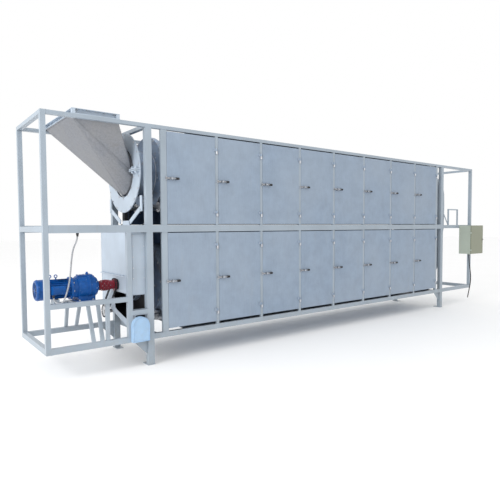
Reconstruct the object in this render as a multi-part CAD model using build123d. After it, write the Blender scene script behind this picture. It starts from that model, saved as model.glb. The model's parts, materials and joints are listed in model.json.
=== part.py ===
from build123d import *
import os
from math import atan2, cos, degrees, pi, radians, sin, sqrt, tan

# Two-deck rotary drum dryer, all sizes in millimetres.
# Values named *_X run from the left end of the frame, *_Y from its front face, *_Z from the floor.
# The written files have their origin on the floor, midway between the four anchored legs.

# ---- frame ----
FRAME_LENGTH = 8220
FRAME_DEPTH = 1050
FRAME_TOP_Z = 2690
RAIL_BASE_Z = 290
POST = 50
TOP_RAIL_HEIGHT = 40
BOTTOM_RAIL_HEIGHT = 60
MID_RAIL_Z = 1495
MID_RAIL_HEIGHT = 80
RIGHT_RAIL_Z = 1505
RIGHT_RAIL_HEIGHT = 60
TUBE_WALL = 3
LEG_X = (1120, 7120)
LEG_WIDTH = 75
LEG_DEPTH = 60
FOOT_THICK = 8
ANCHOR_INSET = 95
ANCHOR_RADIUS = 7
ORIGIN_X = sum(LEG_X) / 2
ORIGIN_Y = FRAME_DEPTH / 2
HALF_POST_X = 852
STRINGER_Z = 742
SMALL_RAIL_Z = 588

# ---- cabinet and doors ----
CABINET_X = (1270, 6955)
COLUMNS = 8
DOOR_PITCH = 700
FIRST_MULLION_X = 1322
MULLION_WIDTH = 40
DOOR_GAP = 2.5
DOOR_THICK = 25
DOOR_FRONT_Y = 2
UPPER_DOOR_Z = (1585, 2635)
LOWER_DOOR_Z = (385, 1485)
HINGE_AXIS_Y = -8
HINGE_AXIS_INSET = 12
HINGE_BARREL_RADIUS = 7
HINGE_PIN_RADIUS = 4
RUNNING_GAP = 0.05
HINGE_Z_FROM_TOP = 165
HINGE_Z_FROM_BOTTOM = 130
LATCH_PIVOT_FROM_EDGE = 45
LATCH_LEVER_LEFT = 62
LATCH_LEVER_RIGHT = 92
BAFFLE_X = (1640, 6850)

# ---- drums ----
DRUM_Y = 525
UPPER_DRUM_Z = 2190
LOWER_DRUM_Z = 920
SHELL_RADIUS = 425
SHELL_WALL = 5
TYRE_RADIUS = 450
TYRE_WIDTH = 60
UPPER_DRUM_X = (1330, 6990)
LOWER_DRUM_X = (1285, 6990)
UPPER_NECK_RADIUS = 274
LOWER_NECK_RADIUS = 250
ROLLER_RADIUS = 60
ROLLER_GAP = 0.3
ROLLER_ANGLE = 38
SHAFT_RADIUS = 25
FLIGHTS = 8

# ---- drive ----
DRIVE_Y = 500
DRIVE_Z = 883
CHAIN_PITCH = 25.4
DRIVE_TEETH = 17
VERTICAL_TEETH = 10
CHAIN_HALF_HEIGHT = 9
CHAIN_GAP = 1.2

# ---- feed, transfer and discharge ----
CHUTE_X = (305, 795)
CHUTE_Y = (55, 995)
CHUTE_END_X = 1035
CHUTE_RADIUS = 255
RING_X = 1040
RING_THICK = 12
RING_OUTER = 465
RING_INNER = 285
SHEET = 3
HOOD_X = (930, 1155)
HOOD_Y = (64, 986)
HOOD_Z = (800, 1490)
TRANSFER_X = 7033
TRANSFER_RADIUS = 455
BULGE = [
    (7140, 2660), (7250, 2380), (7305, 2150), (7315, 1950),
    (7300, 1500), (7230, 1250), (7170, 1000), (7150, 440),
]
SPOUT_X = (880, 1075)
SPOUT_Y = (-60, -3)
SPOUT_Z = (295, 570)

# ---- control box ----
BOX_X = (7750, 8210)
BOX_Y = (-228, 0)
BOX_Z = (1000, 1555)
BOX_DOOR_THICK = 15


def block(x0, x1, y0, y1, z0, z1):
    """Box between two corners."""
    middle = Pos((x0 + x1) / 2 - ORIGIN_X, (y0 + y1) / 2 - ORIGIN_Y, (z0 + z1) / 2)
    return middle * Box(x1 - x0, y1 - y0, z1 - z0)


def hollow_bar(x0, x1, y0, y1, z0, z1, axis):
    """Rectangular tube along one axis, open at both ends."""
    w = TUBE_WALL
    inner = {
        "x": (x0 - 1, x1 + 1, y0 + w, y1 - w, z0 + w, z1 - w),
        "y": (x0 + w, x1 - w, y0 - 1, y1 + 1, z0 + w, z1 - w),
        "z": (x0 + w, x1 - w, y0 + w, y1 - w, z0 - 1, z1 + 1),
    }[axis]
    return block(x0, x1, y0, y1, z0, z1) - block(*inner)


def rod_x(x0, x1, y, z, radius):
    """Cylinder along the length of the machine."""
    place = Pos((x0 + x1) / 2 - ORIGIN_X, y - ORIGIN_Y, z) * Rot(0, 90, 0)
    return place * Cylinder(radius, x1 - x0)


def rod_y(y0, y1, x, z, radius):
    """Cylinder from front to back."""
    place = Pos(x - ORIGIN_X, (y0 + y1) / 2 - ORIGIN_Y, z) * Rot(90, 0, 0)
    return place * Cylinder(radius, y1 - y0)


def rod_z(z0, z1, x, y, radius):
    """Upright cylinder."""
    return Pos(x - ORIGIN_X, y - ORIGIN_Y, (z0 + z1) / 2) * Cylinder(radius, z1 - z0)


def prism_y(points_xz, y0, y1):
    """Outline in the X-Z plane, carried from y0 to y1."""
    outline = [(x - ORIGIN_X, y0 - ORIGIN_Y, z) for x, z in points_xz]
    return extrude(Face(Wire.make_polygon(outline)), amount=y1 - y0, dir=(0, 1, 0))


def prism_x(points_yz, x0, x1):
    """Outline in the Y-Z plane, carried from x0 to x1."""
    outline = [(x0 - ORIGIN_X, y - ORIGIN_Y, z) for y, z in points_yz]
    return extrude(Face(Wire.make_polygon(outline)), amount=x1 - x0, dir=(1, 0, 0))


def flat_bar(start, end, across, width, thick_direction, thick):
    """Straight flat bar between two points given as (x, y, z)."""
    a = Vector(*start)
    b = Vector(*end)
    half = Vector(*across).normalized() * (width / 2)
    corners = [a - half, a + half, b + half, b - half]
    shift = Vector(ORIGIN_X, ORIGIN_Y, 0)
    outline = Wire.make_polygon([c - shift for c in corners])
    return extrude(Face(outline), amount=thick, dir=thick_direction)


def write(name, pieces):
    """One node; each piece stays a separate solid."""
    solids = []
    for piece in pieces:
        solids.extend(piece.solids())
    export_step(Compound(children=solids), "parts/" + name + ".step")


# ---------------------------------------------------------------- frame

def end_posts():
    pieces = []
    for x in (0, FRAME_LENGTH - POST):
        for y in (0, FRAME_DEPTH - POST):
            post = block(x, x + POST, y, y + POST, RAIL_BASE_Z, FRAME_TOP_Z)
            w = TUBE_WALL
            bore = block(x + w, x + POST - w, y + w, y + POST - w, RAIL_BASE_Z - 1, FRAME_TOP_Z - w)
            pieces.append(post - bore)
    return pieces


def main_legs():
    pieces = []
    for x in LEG_X:
        left = x - LEG_WIDTH / 2
        right = x + LEG_WIDTH / 2
        for y, inward in ((0, 1), (FRAME_DEPTH - LEG_DEPTH, -1)):
            top = FRAME_TOP_Z - TOP_RAIL_HEIGHT
            pieces.append(hollow_bar(left, right, y, y + LEG_DEPTH, FOOT_THICK, top, "z"))
            outer_y = y - 4 if inward > 0 else y + LEG_DEPTH + 4
            inner_y = outer_y + inward * 140
            low, high = sorted((outer_y, inner_y))
            foot = block(left - 6, right + 6, low, high, 0, FOOT_THICK)
            hole_y = anchor_y(inward)
            pieces.append(foot - rod_z(-1, FOOT_THICK + 1, x, hole_y, ANCHOR_RADIUS))
            gusset_y = y + LEG_DEPTH / 2 - 3
            gusset = [(left - 165, RAIL_BASE_Z), (left, RAIL_BASE_Z), (left, RAIL_BASE_Z - 165)]
            pieces.append(prism_y(gusset, gusset_y, gusset_y + 6))
    return pieces


def anchor_y(inward):
    return ANCHOR_INSET if inward > 0 else FRAME_DEPTH - ANCHOR_INSET


def long_rails():
    first = LEG_X[0] - LEG_WIDTH / 2
    second = LEG_X[0] + LEG_WIDTH / 2
    third = LEG_X[1] - LEG_WIDTH / 2
    fourth = LEG_X[1] + LEG_WIDTH / 2
    right_end = FRAME_LENGTH - POST
    pieces = []
    for y in (0, FRAME_DEPTH - POST):
        span = (y, y + POST)
        pieces.append(hollow_bar(POST, right_end, *span, FRAME_TOP_Z - TOP_RAIL_HEIGHT, FRAME_TOP_Z, "x"))
        mid = (MID_RAIL_Z, MID_RAIL_Z + MID_RAIL_HEIGHT)
        right_mid = (RIGHT_RAIL_Z, RIGHT_RAIL_Z + RIGHT_RAIL_HEIGHT)
        pieces.append(hollow_bar(POST, first, *span, *mid, "x"))
        pieces.append(hollow_bar(second, third, *span, *mid, "x"))
        pieces.append(hollow_bar(fourth, right_end, *span, *right_mid, "x"))
        base = (RAIL_BASE_Z, RAIL_BASE_Z + BOTTOM_RAIL_HEIGHT)
        for start, stop in ((POST, first), (second, third), (fourth, right_end)):
            pieces.append(hollow_bar(start, stop, *span, *base, "x"))
    return pieces


def cross_rails():
    pieces = []
    top = (FRAME_TOP_Z - TOP_RAIL_HEIGHT, FRAME_TOP_Z)
    mid = (RIGHT_RAIL_Z, RIGHT_RAIL_Z + RIGHT_RAIL_HEIGHT)
    base = (RAIL_BASE_Z, RAIL_BASE_Z + BOTTOM_RAIL_HEIGHT)
    for x in (0, FRAME_LENGTH - POST):
        for level in (top, mid, base):
            pieces.append(hollow_bar(x, x + POST, POST, FRAME_DEPTH - POST, *level, "y"))
    for x in LEG_X:
        left = x - LEG_WIDTH / 2 + 12
        pieces.append(hollow_bar(left, left + POST, POST, FRAME_DEPTH - POST, *top, "y"))
    beam_level = (MID_RAIL_Z, MID_RAIL_Z + MID_RAIL_HEIGHT)
    for x in (1160, 6855):
        for level in (beam_level, base):
            pieces.append(hollow_bar(x, x + 55, POST, FRAME_DEPTH - POST, *level, "y"))
    half_top = (RAIL_BASE_Z + BOTTOM_RAIL_HEIGHT, MID_RAIL_Z)
    pieces.append(hollow_bar(HALF_POST_X, HALF_POST_X + POST, 0, POST, *half_top, "z"))
    pieces.append(hollow_bar(POST, HALF_POST_X, 0, POST, STRINGER_Z, STRINGER_Z + POST, "x"))
    small_end = LEG_X[0] - LEG_WIDTH / 2
    pieces.append(hollow_bar(HALF_POST_X + POST, small_end, 0, POST, SMALL_RAIL_Z, SMALL_RAIL_Z + POST, "x"))
    return pieces + bracket_frame()


def bracket_frame():
    """Small angle-iron frame that stands on the right bay's middle rail."""
    foot = RIGHT_RAIL_Z + RIGHT_RAIL_HEIGHT
    top = foot + 310
    leg = 22
    pieces = []
    for x in (7370, 7700):
        pieces.append(block(x, x + leg, 14, 14 + leg, foot, top))
    pieces.append(block(7370 + leg, 7700, 14, 14 + leg, top - leg, top))
    pieces.append(flat_bar((7230, 25, foot + 200), (7370, 25, foot + 20), (1, 0, 0.8), 26, (0, 1, 0), 6))
    return pieces


# ---------------------------------------------------------------- cabinet

def mullion_spans():
    """Left and right edge of every upright between the doors, corner strips included."""
    spans = []
    for i in range(COLUMNS + 1):
        centre = FIRST_MULLION_X + i * DOOR_PITCH
        left = CABINET_X[0] if i == 0 else centre - MULLION_WIDTH / 2
        right = CABINET_X[1] if i == COLUMNS else centre + MULLION_WIDTH / 2
        spans.append((left, right))
    return spans


def cabinet_mullions():
    upper = (MID_RAIL_Z + MID_RAIL_HEIGHT, FRAME_TOP_Z - TOP_RAIL_HEIGHT)
    lower = (RAIL_BASE_Z + BOTTOM_RAIL_HEIGHT, MID_RAIL_Z)
    pieces = []
    for left, right in mullion_spans():
        for level in (upper, lower):
            pieces.append(hollow_bar(left, right, 4, 34, *level, "z"))
    return pieces


def cabinet_panels():
    """Roof, middle and floor sheets, end baffles round the drums, and plain back panels."""
    left, right = BAFFLE_X
    inner = (POST, FRAME_DEPTH - POST)
    roof_z = FRAME_TOP_Z - TOP_RAIL_HEIGHT + 10
    pieces = [
        block(left, right, *inner, roof_z, roof_z + SHEET),
        block(left, right, *inner, MID_RAIL_Z + 40, MID_RAIL_Z + 40 + SHEET),
        block(left, right, *inner, RAIL_BASE_Z + 20, RAIL_BASE_Z + 20 + SHEET),
    ]
    for x in (left - SHEET, right):
        for axis_z, low, high in ((UPPER_DRUM_Z, 1600, 2560), (LOWER_DRUM_Z, 450, 1480)):
            plate = block(x, x + SHEET, LEG_DEPTH, FRAME_DEPTH - LEG_DEPTH, low, high)
            plate = plate - rod_x(x - 1, x + SHEET + 1, DRUM_Y, axis_z, SHELL_RADIUS + 8)
            for y, z in roller_places(axis_z):
                plate = plate - rod_x(x - 1, x + SHEET + 1, y, z, SHAFT_RADIUS + 8)
            pieces.append(plate)
    panel_width = (CABINET_X[1] - CABINET_X[0]) / 4
    for i in range(4):
        start = CABINET_X[0] + i * panel_width
        for low, high in (UPPER_DOOR_Z, LOWER_DOOR_Z):
            back = block(start + 2, start + panel_width - 2, 1012, 1012 + SHEET, low, high)
            pieces.append(back)
            for x in (start + 2, start + panel_width - 27):
                pieces.append(block(x, x + 25, 1012 - 25, 1012, low, high))
    return pieces


def door_places():
    """Name suffix, left edge and height span of every front door."""
    places = []
    for row, span in (("upper", UPPER_DOOR_Z), ("lower", LOWER_DOOR_Z)):
        for i in range(COLUMNS):
            edge = FIRST_MULLION_X + i * DOOR_PITCH + MULLION_WIDTH / 2 + DOOR_GAP
            places.append((row + "_" + str(i + 1), edge, span))
    return places


DOOR_WIDTH = DOOR_PITCH - MULLION_WIDTH - 2 * DOOR_GAP


def hinge_heights(span):
    return (span[0] + HINGE_Z_FROM_BOTTOM, span[1] - HINGE_Z_FROM_TOP)


def latch_height(span):
    return span[0] + 0.495 * (span[1] - span[0])


def door(edge, span):
    """Insulated panel with its hinge barrels and the latch's base."""
    right = edge + DOOR_WIDTH
    panel = block(edge, right, DOOR_FRONT_Y, DOOR_FRONT_Y + DOOR_THICK, *span)
    axis_x = right + DOOR_GAP + HINGE_AXIS_INSET
    for z in hinge_heights(span):
        leaf = block(right - 28, axis_x, HINGE_AXIS_Y + 2, HINGE_AXIS_Y + 6, z, z + 34)
        pad = block(right - 28, right - 4, HINGE_AXIS_Y + 2, DOOR_FRONT_Y + 1, z, z + 34)
        barrel = rod_z(z, z + 34, axis_x, HINGE_AXIS_Y, HINGE_BARREL_RADIUS)
        panel = panel + pad + leaf + barrel
        panel = panel - rod_z(z - 1, z + 35, axis_x, HINGE_AXIS_Y, HINGE_PIN_RADIUS + RUNNING_GAP)
    pivot_x = edge + LATCH_PIVOT_FROM_EDGE
    pivot_z = latch_height(span)
    base = block(pivot_x - 22, pivot_x + 22, -8, DOOR_FRONT_Y + 1, pivot_z - 22, pivot_z + 22)
    base = base + rod_y(-34, -7, pivot_x, pivot_z, 7)
    base = base + rod_y(-37, -34, pivot_x, pivot_z, 11)
    return panel + base


def latch(edge, span):
    """Lever that turns on the door's latch stud, with a tongue over the upright and a grip."""
    pivot_x = edge + LATCH_PIVOT_FROM_EDGE
    z = latch_height(span)
    hub = rod_y(-33.5, -9, pivot_x, z, 17)
    tongue = block(pivot_x - LATCH_LEVER_LEFT, pivot_x, -24, -14, z - 9, z + 9)
    arm = block(pivot_x, pivot_x + LATCH_LEVER_RIGHT - 40, -30, -18, z - 7, z + 7)
    grip_place = Pos(pivot_x + LATCH_LEVER_RIGHT - 20 - ORIGIN_X, -24 - ORIGIN_Y, z) * Rot(0, 90, 0)
    grip = grip_place * Cylinder(12, 48)
    lever = hub + tongue + arm + grip
    return lever - rod_y(-40, -1, pivot_x, z, 7 + RUNNING_GAP)


def door_hardware():
    """Fixed hinge halves with their pins, and the pads the latch tongues rest over."""
    pieces = []
    for name, edge, span in door_places():
        right = edge + DOOR_WIDTH
        axis_x = right + DOOR_GAP + HINGE_AXIS_INSET
        for z in hinge_heights(span):
            low = z - 36
            barrel = rod_z(low, z - 1, axis_x, HINGE_AXIS_Y, HINGE_BARREL_RADIUS)
            pin = rod_z(low, z + 36, axis_x, HINGE_AXIS_Y, HINGE_PIN_RADIUS)
            leaf = block(axis_x, axis_x + 18, HINGE_AXIS_Y - 2, HINGE_AXIS_Y + 12, low, z - 1)
            pieces.append(barrel + pin + leaf)
        pad_x = edge - DOOR_GAP - 22
        z = latch_height(span)
        pieces.append(block(pad_x, pad_x + 18, -12, 4, z - 16, z + 16))
    return pieces


# ---------------------------------------------------------------- drums and rollers

def roller_places(axis_z):
    reach = TYRE_RADIUS + ROLLER_GAP + ROLLER_RADIUS
    dy = reach * sin(radians(ROLLER_ANGLE))
    dz = reach * cos(radians(ROLLER_ANGLE))
    return [(DRUM_Y - dy, axis_z - dz), (DRUM_Y + dy, axis_z - dz)]


def ring_x(x0, x1, y, z, outer, inner):
    return rod_x(x0, x1, y, z, outer) - rod_x(x0 - 1, x1 + 1, y, z, inner)


def staves(ring, axis_z, left, right, count=12):
    """Part a ring-shaped body round the drum axis into equal sectors that touch."""
    reach = 2 * TYRE_RADIUS
    half = pi / count
    pieces = []
    for i in range(count):
        middle = 2 * pi * i / count
        outline = [(DRUM_Y, axis_z)]
        for angle in (middle - half, middle + half):
            outline.append((DRUM_Y + reach * cos(angle), axis_z + reach * sin(angle)))
        pieces.append(ring & prism_x(outline, left, right))
    return pieces


def drum(axis_z, reach, neck_radius, neck_start, neck_end):
    """Shell with end plates, two running tyres, open necks and lifting flights."""
    left, right = reach
    shell = ring_x(left, right, DRUM_Y, axis_z, SHELL_RADIUS, SHELL_RADIUS - SHELL_WALL)
    inner = SHELL_RADIUS - SHELL_WALL
    for x in (left, right - TYRE_WIDTH):
        shell = shell + ring_x(x, x + TYRE_WIDTH, DRUM_Y, axis_z, TYRE_RADIUS, inner)
    for x in (left, right - 8):
        shell = shell + ring_x(x, x + 8, DRUM_Y, axis_z, inner + 2, neck_radius - 6)
    shell = shell + ring_x(neck_start, left + 4, DRUM_Y, axis_z, neck_radius, neck_radius - 6)
    shell = shell + ring_x(right - 4, neck_end, DRUM_Y, axis_z, neck_radius, neck_radius - 6)
    for i in range(FLIGHTS):
        root = axis_z + inner
        flight = block(left + 200, right - 200, DRUM_Y - 3, DRUM_Y + 3, root - 60, root + 2)
        turn = Pos(0, 0, axis_z) * Rot(i * 360 / FLIGHTS, 0, 0) * Pos(0, 0, -axis_z)
        shell = shell + turn * flight
    return shell


def roller_shaft(y, z, reach, start_x, sprockets):
    """Long shaft with a roller under each tyre and chain sprockets as (x, teeth) pairs."""
    left, right = reach
    shaft = rod_x(start_x, right, y, z, SHAFT_RADIUS)
    for x in (left, right - TYRE_WIDTH):
        shaft = shaft + rod_x(x, x + TYRE_WIDTH, y, z, ROLLER_RADIUS)
    for x, teeth in sprockets:
        shaft = shaft + sprocket(x, y, z, teeth)
    return shaft


def sprocket_radius(teeth):
    return CHAIN_PITCH / 2 / sin(pi / teeth)


def sprocket(x, y, z, teeth):
    """Toothed wheel 12 wide whose tooth gaps are round seats."""
    pitch_radius = sprocket_radius(teeth)
    wheel = rod_x(x, x + 12, y, z, pitch_radius + 3)
    for i in range(teeth):
        angle = 2 * pi * i / teeth
        seat_y = y + pitch_radius * cos(angle)
        seat_z = z + pitch_radius * sin(angle)
        wheel = wheel - rod_x(x - 1, x + 13, seat_y, seat_z, 6.5)
    return wheel


def chain_loop(x, first, second, teeth_first, teeth_second):
    """Closed chain band round two wheels, standing just off their teeth."""
    def hull(offset):
        r1 = sprocket_radius(teeth_first) + offset
        r2 = sprocket_radius(teeth_second) + offset
        (y1, z1), (y2, z2) = first, second
        reach = sqrt((y2 - y1) ** 2 + (z2 - z1) ** 2)
        heading = atan2(z2 - z1, y2 - y1)
        lean = pi / 2 + atan2(r1 - r2, reach) * -1
        corners = []
        for side in (1, -1):
            a = heading + side * lean
            corners.append((y1 + r1 * cos(a), z1 + r1 * sin(a)))
            corners.append((y2 + r2 * cos(a), z2 + r2 * sin(a)))
        band = prism_x([corners[0], corners[1], corners[3], corners[2]], x, x + 12)
        band = band + rod_x(x, x + 12, y1, z1, r1)
        return band + rod_x(x, x + 12, y2, z2, r2)
    return hull(3 + CHAIN_GAP + CHAIN_HALF_HEIGHT) - hull(3 + CHAIN_GAP)


def bearings():
    """Pillow blocks on the cross beams, and the flange bearing of the drive shaft."""
    pieces = []
    upper_beam = MID_RAIL_Z + MID_RAIL_HEIGHT
    lower_beam = RAIL_BASE_Z + BOTTOM_RAIL_HEIGHT
    for axis_z, beam_top in ((UPPER_DRUM_Z, upper_beam), (LOWER_DRUM_Z, lower_beam)):
        for y, z in roller_places(axis_z):
            for x in (1165, 6860):
                body = block(x, x + 42, y - 34, y + 34, beam_top + 14, z)
                body = body + rod_x(x, x + 42, y, z, 46)
                body = body + block(x, x + 42, y - 85, y + 85, beam_top, beam_top + 16)
                pieces.append(body - rod_x(x - 1, x + 43, y, z, SHAFT_RADIUS + RUNNING_GAP))
    flange = rod_x(914, HOOD_X[0], DRIVE_Y, DRIVE_Z, 62)
    pieces.append(flange - rod_x(913, HOOD_X[0] + 1, DRIVE_Y, DRIVE_Z, 20 + RUNNING_GAP))
    return pieces


# ---------------------------------------------------------------- feed end

def triangle(a, b, c):
    return Face(Wire.make_polygon([a, b, c]))


def folded_gore(outer, inner):
    """Plate between an outer and an inner triangle; the first two points come before the third."""
    a, b, c = outer
    d, e, f = inner
    faces = [triangle(a, b, c), triangle(d, f, e)]
    for near, far, near_in, far_in in ((a, b, d, e), (a, c, d, f), (b, c, e, f)):
        faces.append(triangle(near, far, far_in))
        faces.append(triangle(near, far_in, near_in))
    body = Solid(Shell(faces))
    return body if body.volume > 0 else Solid(Shell([-face for face in faces]))


def transition_points(inset, rim_drop, segments):
    """Corners of the level rim and points of the upright circle, drawn in by the sheet."""
    shift = Vector(ORIGIN_X, ORIGIN_Y, 0)
    x0, x1 = CHUTE_X[0] + inset, CHUTE_X[1] - inset
    y0, y1 = CHUTE_Y[0] + inset, CHUTE_Y[1] - inset
    rim = FRAME_TOP_Z - rim_drop
    corners = [Vector(x, y, rim) - shift for x, y in ((x0, y0), (x1, y0), (x1, y1), (x0, y1))]
    radius = CHUTE_RADIUS - inset
    ring = []
    for i in range(segments):
        a = 2 * pi * i / segments
        ring.append(Vector(CHUTE_END_X, DRUM_Y - radius * sin(a), UPPER_DRUM_Z - radius * cos(a)) - shift)
    return corners, ring


def feed_chute(segments=24, wall=4):
    """Folded transition from the square inlet to the round spout, one plate for each fold."""
    corners, ring = transition_points(0, 2, segments)
    corners_in, ring_in = transition_points(wall, 2, segments)
    quarter = segments // 4
    plates = []
    for q in range(4):
        for i in range(quarter):
            j = q * quarter + i
            k = (j + 1) % segments
            plates.append(folded_gore((corners[q], ring[j], ring[k]),
                                      (corners_in[q], ring_in[j], ring_in[k])))
        following = (q + 1) % 4
        k = ((q + 1) * quarter) % segments
        plates.append(folded_gore((corners[q], corners[following], ring[k]),
                                  (corners_in[q], corners_in[following], ring_in[k])))
    spout = ring_x(CHUTE_END_X + 0.2, CHUTE_END_X + 40, DRUM_Y, UPPER_DRUM_Z,
                   CHUTE_RADIUS - 1, CHUTE_RADIUS - 4)
    return plates + staves(spout, UPPER_DRUM_Z, CHUTE_END_X - 1, CHUTE_END_X + 41)


def feed_collar():
    """Four channels on top of the rails, their open sides outward, with blocks in the corners."""
    x0, x1 = CHUTE_X[0] - 5, CHUTE_X[1] + 5
    y0, y1 = 0, FRAME_DEPTH
    z0, z1 = FRAME_TOP_Z, FRAME_TOP_Z + 55
    web = 42
    thick = 5
    pieces = []
    for near, far, outside in ((y0, y0 + web, y0), (y1 - web, y1, y1)):
        groove = (outside - 1, near + web - thick) if outside == y0 else (near + thick, outside + 1)
        bar = block(x0, x1, near, far, z0, z1)
        pieces.append(bar - block(x0 - 1, x1 + 1, *groove, z0 + thick, z1 - thick))
    for near, far, outside in ((x0, x0 + web, x0), (x1 - web, x1, x1)):
        groove = (outside - 1, near + web - thick) if outside == x0 else (near + thick, outside + 1)
        bar = block(near, far, y0 + web, y1 - web, z0, z1)
        pieces.append(bar - block(*groove, y0 + web - 1, y1 - web + 1, z0 + thick, z1 - thick))
    for x in (x0 + 3, x1 - 37):
        for y in (y0 + 2, y1 - 36):
            pieces.append(block(x, x + 34, y, y + 34, z0 + thick, z1 - thick))
    return pieces


def seal_ring():
    """Split ring round the upper drum's inlet, its bolted ears and its V brackets."""
    x0, x1 = RING_X, RING_X + RING_THICK
    z = UPPER_DRUM_Z
    ring = ring_x(x0, x1, DRUM_Y, z, RING_OUTER, RING_INNER)
    ring = ring - block(x0 - 1, x1 + 1, -50, FRAME_DEPTH + 50, z - 2, z + 2)
    pieces = []
    for sector in staves(ring, z, x0 - 1, x1 + 1):
        pieces.extend(sector.solids())
    for y0 in (DRUM_Y - RING_OUTER + 8, DRUM_Y + RING_INNER + 12):
        ear_length = RING_OUTER - RING_INNER - 20
        for low in (z - 14, z + 2):
            ear = block(x0 - 55, x0, y0, y0 + ear_length, low, low + 12)
            for y in (y0 + 35, y0 + ear_length - 35):
                ear = ear - rod_z(low - 1, low + 13, x0 - 30, y, 8.5)
            pieces.append(ear)
        for y in (y0 + 35, y0 + ear_length - 35):
            pieces.append(rod_z(z - 38, z + 42, x0 - 30, y, 8))
            for low in (z - 30, z + 14.5):
                nut = rod_z(low, low + 15, x0 - 30, y, 15)
                pieces.append(nut - rod_z(low - 1, low + 16, x0 - 30, y, 8))
    beam = (RING_X + RING_THICK, RING_X + RING_THICK + 10)
    for side in (-1, 1):
        low = (beam[0], DRUM_Y + side * 140, 1612)
        high = (beam[0], DRUM_Y + side * 430, 1765)
        pieces.append(flat_bar(low, high, (0, -side * 0.5, 1), 52, (1, 0, 0), 10))
        strap = sorted((DRUM_Y + side * 424, DRUM_Y + side * 469))
        pieces.append(block(*beam, *strap, 1730, 1905))
    foot = [(DRUM_Y - 120, MID_RAIL_Z + 5), (DRUM_Y + 120, MID_RAIL_Z + 5)]
    foot = foot + [(DRUM_Y + 90, MID_RAIL_Z + 135), (DRUM_Y - 90, MID_RAIL_Z + 135)]
    pieces.append(prism_x(foot, beam[1], beam[1] + 8))
    rail_x = LEG_X[0] - LEG_WIDTH / 2 + 5
    span = (LEG_DEPTH, FRAME_DEPTH - LEG_DEPTH)
    pieces.append(hollow_bar(rail_x, rail_x + POST, *span, MID_RAIL_Z + 5, MID_RAIL_Z + 65, "y"))
    return pieces


# ---------------------------------------------------------------- discharge end

def discharge_hood():
    x0, x1 = HOOD_X
    y0, y1 = HOOD_Y
    z0, z1 = HOOD_Z
    s = SHEET
    hood = block(x0, x1, y0, y1, z0, z1) - block(x0 + s, x1 - s, y0 + s, y1 - s, z0 - 1, z1 - s)
    hood = hood - rod_x(x1 - s - 1, x1 + 1, DRUM_Y, LOWER_DRUM_Z, LOWER_NECK_RADIUS + 3)
    flange_z = 985
    pieces = [hood, block(x0 - 22, x0, y0, y1, flange_z, flange_z + 12)]
    for i in range(10):
        bolt_y = y0 + 50 + i * (y1 - y0 - 100) / 9
        pieces.append(rod_z(flange_z + 12, flange_z + 20, x0 - 12, bolt_y, 7))
    return pieces + [trough()]


def trough():
    """Sloping chute under the hood that carries the product forward over the bottom rail."""
    x0, x1 = HOOD_X
    y0, y1 = HOOD_Y
    top = HOOD_Z[0]
    s = SHEET
    outline = [(y0, top), (y1, top), (y1, 652), (y0, 372), (0, 354), (0, 585), (y0, 585)]
    front = LEG_X[0] - LEG_WIDTH / 2 - 4
    outer = prism_x(outline, x0, x1)
    outer = outer - block(front, x1 + 1, -10, y0, 300, 650)
    hollow = [(y0 + s, top + 1), (y1 - s, top + 1), (y1 - s, 655), (y0, 376), (-4, 358), (-4, 582), (y0, 582)]
    hollow = hollow + [(y0 + s, 582)]
    inside = prism_x(hollow, x0 + s, x1 - s) - block(front - s, x1 + 1, -10, y0 + s, 300, 650)
    window = block(x0 + 6, front - 3, y0 - 1, y0 + s + 1, 640, 797)
    side_outline = [(85, 797), (620, 797), (565, 600), (500, 572), (285, 520), (85, 470)]
    side_window = prism_x(side_outline, x0 - 1, x0 + s + 1)
    neck_hole = rod_x(x1 - s - 1, x1 + 1, DRUM_Y, LOWER_DRUM_Z, LOWER_NECK_RADIUS + 3)
    return outer - inside - window - side_window - neck_hole


def arch(x0, x1, z0, z1, y0, y1):
    radius = (x1 - x0) / 2
    body = block(x0, x1, y0, y1, z0, z1 - radius)
    return body + rod_y(y0, y1, (x0 + x1) / 2, z1 - radius, radius)


def outlet_spout():
    """Arched cover with a closed front; the product falls out of its open foot."""
    x0, x1 = SPOUT_X
    y0, y1 = SPOUT_Y
    z0, z1 = SPOUT_Z
    outer = arch(x0, x1, z0, z1, y0, y1 + 3)
    outer = outer - arch(x0 + 6, x1 - 6, z0 - 1, z1 - 6, y0 + 7, y1)
    outer = outer - arch(x0 + 7, x1 - 7, z0 + 7, z1 - 7, y0 - 1, y0 + 4)
    front = LEG_X[0] - LEG_WIDTH / 2 - 4
    doorway = block(HOOD_X[0] + SHEET, front - SHEET, y1 - 2, y1 + 5, 358, 545)
    return [outer - doorway]


# ---------------------------------------------------------------- transfer end

def upright_oval(x0, x1, radius):
    """Flat-sided oval that wraps both drum ends, carried from x0 to x1."""
    body = block(x0, x1, DRUM_Y - radius, DRUM_Y + radius, LOWER_DRUM_Z, UPPER_DRUM_Z)
    body = body + rod_x(x0, x1, DRUM_Y, UPPER_DRUM_Z, radius)
    return body + rod_x(x0, x1, DRUM_Y, LOWER_DRUM_Z, radius)


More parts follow.
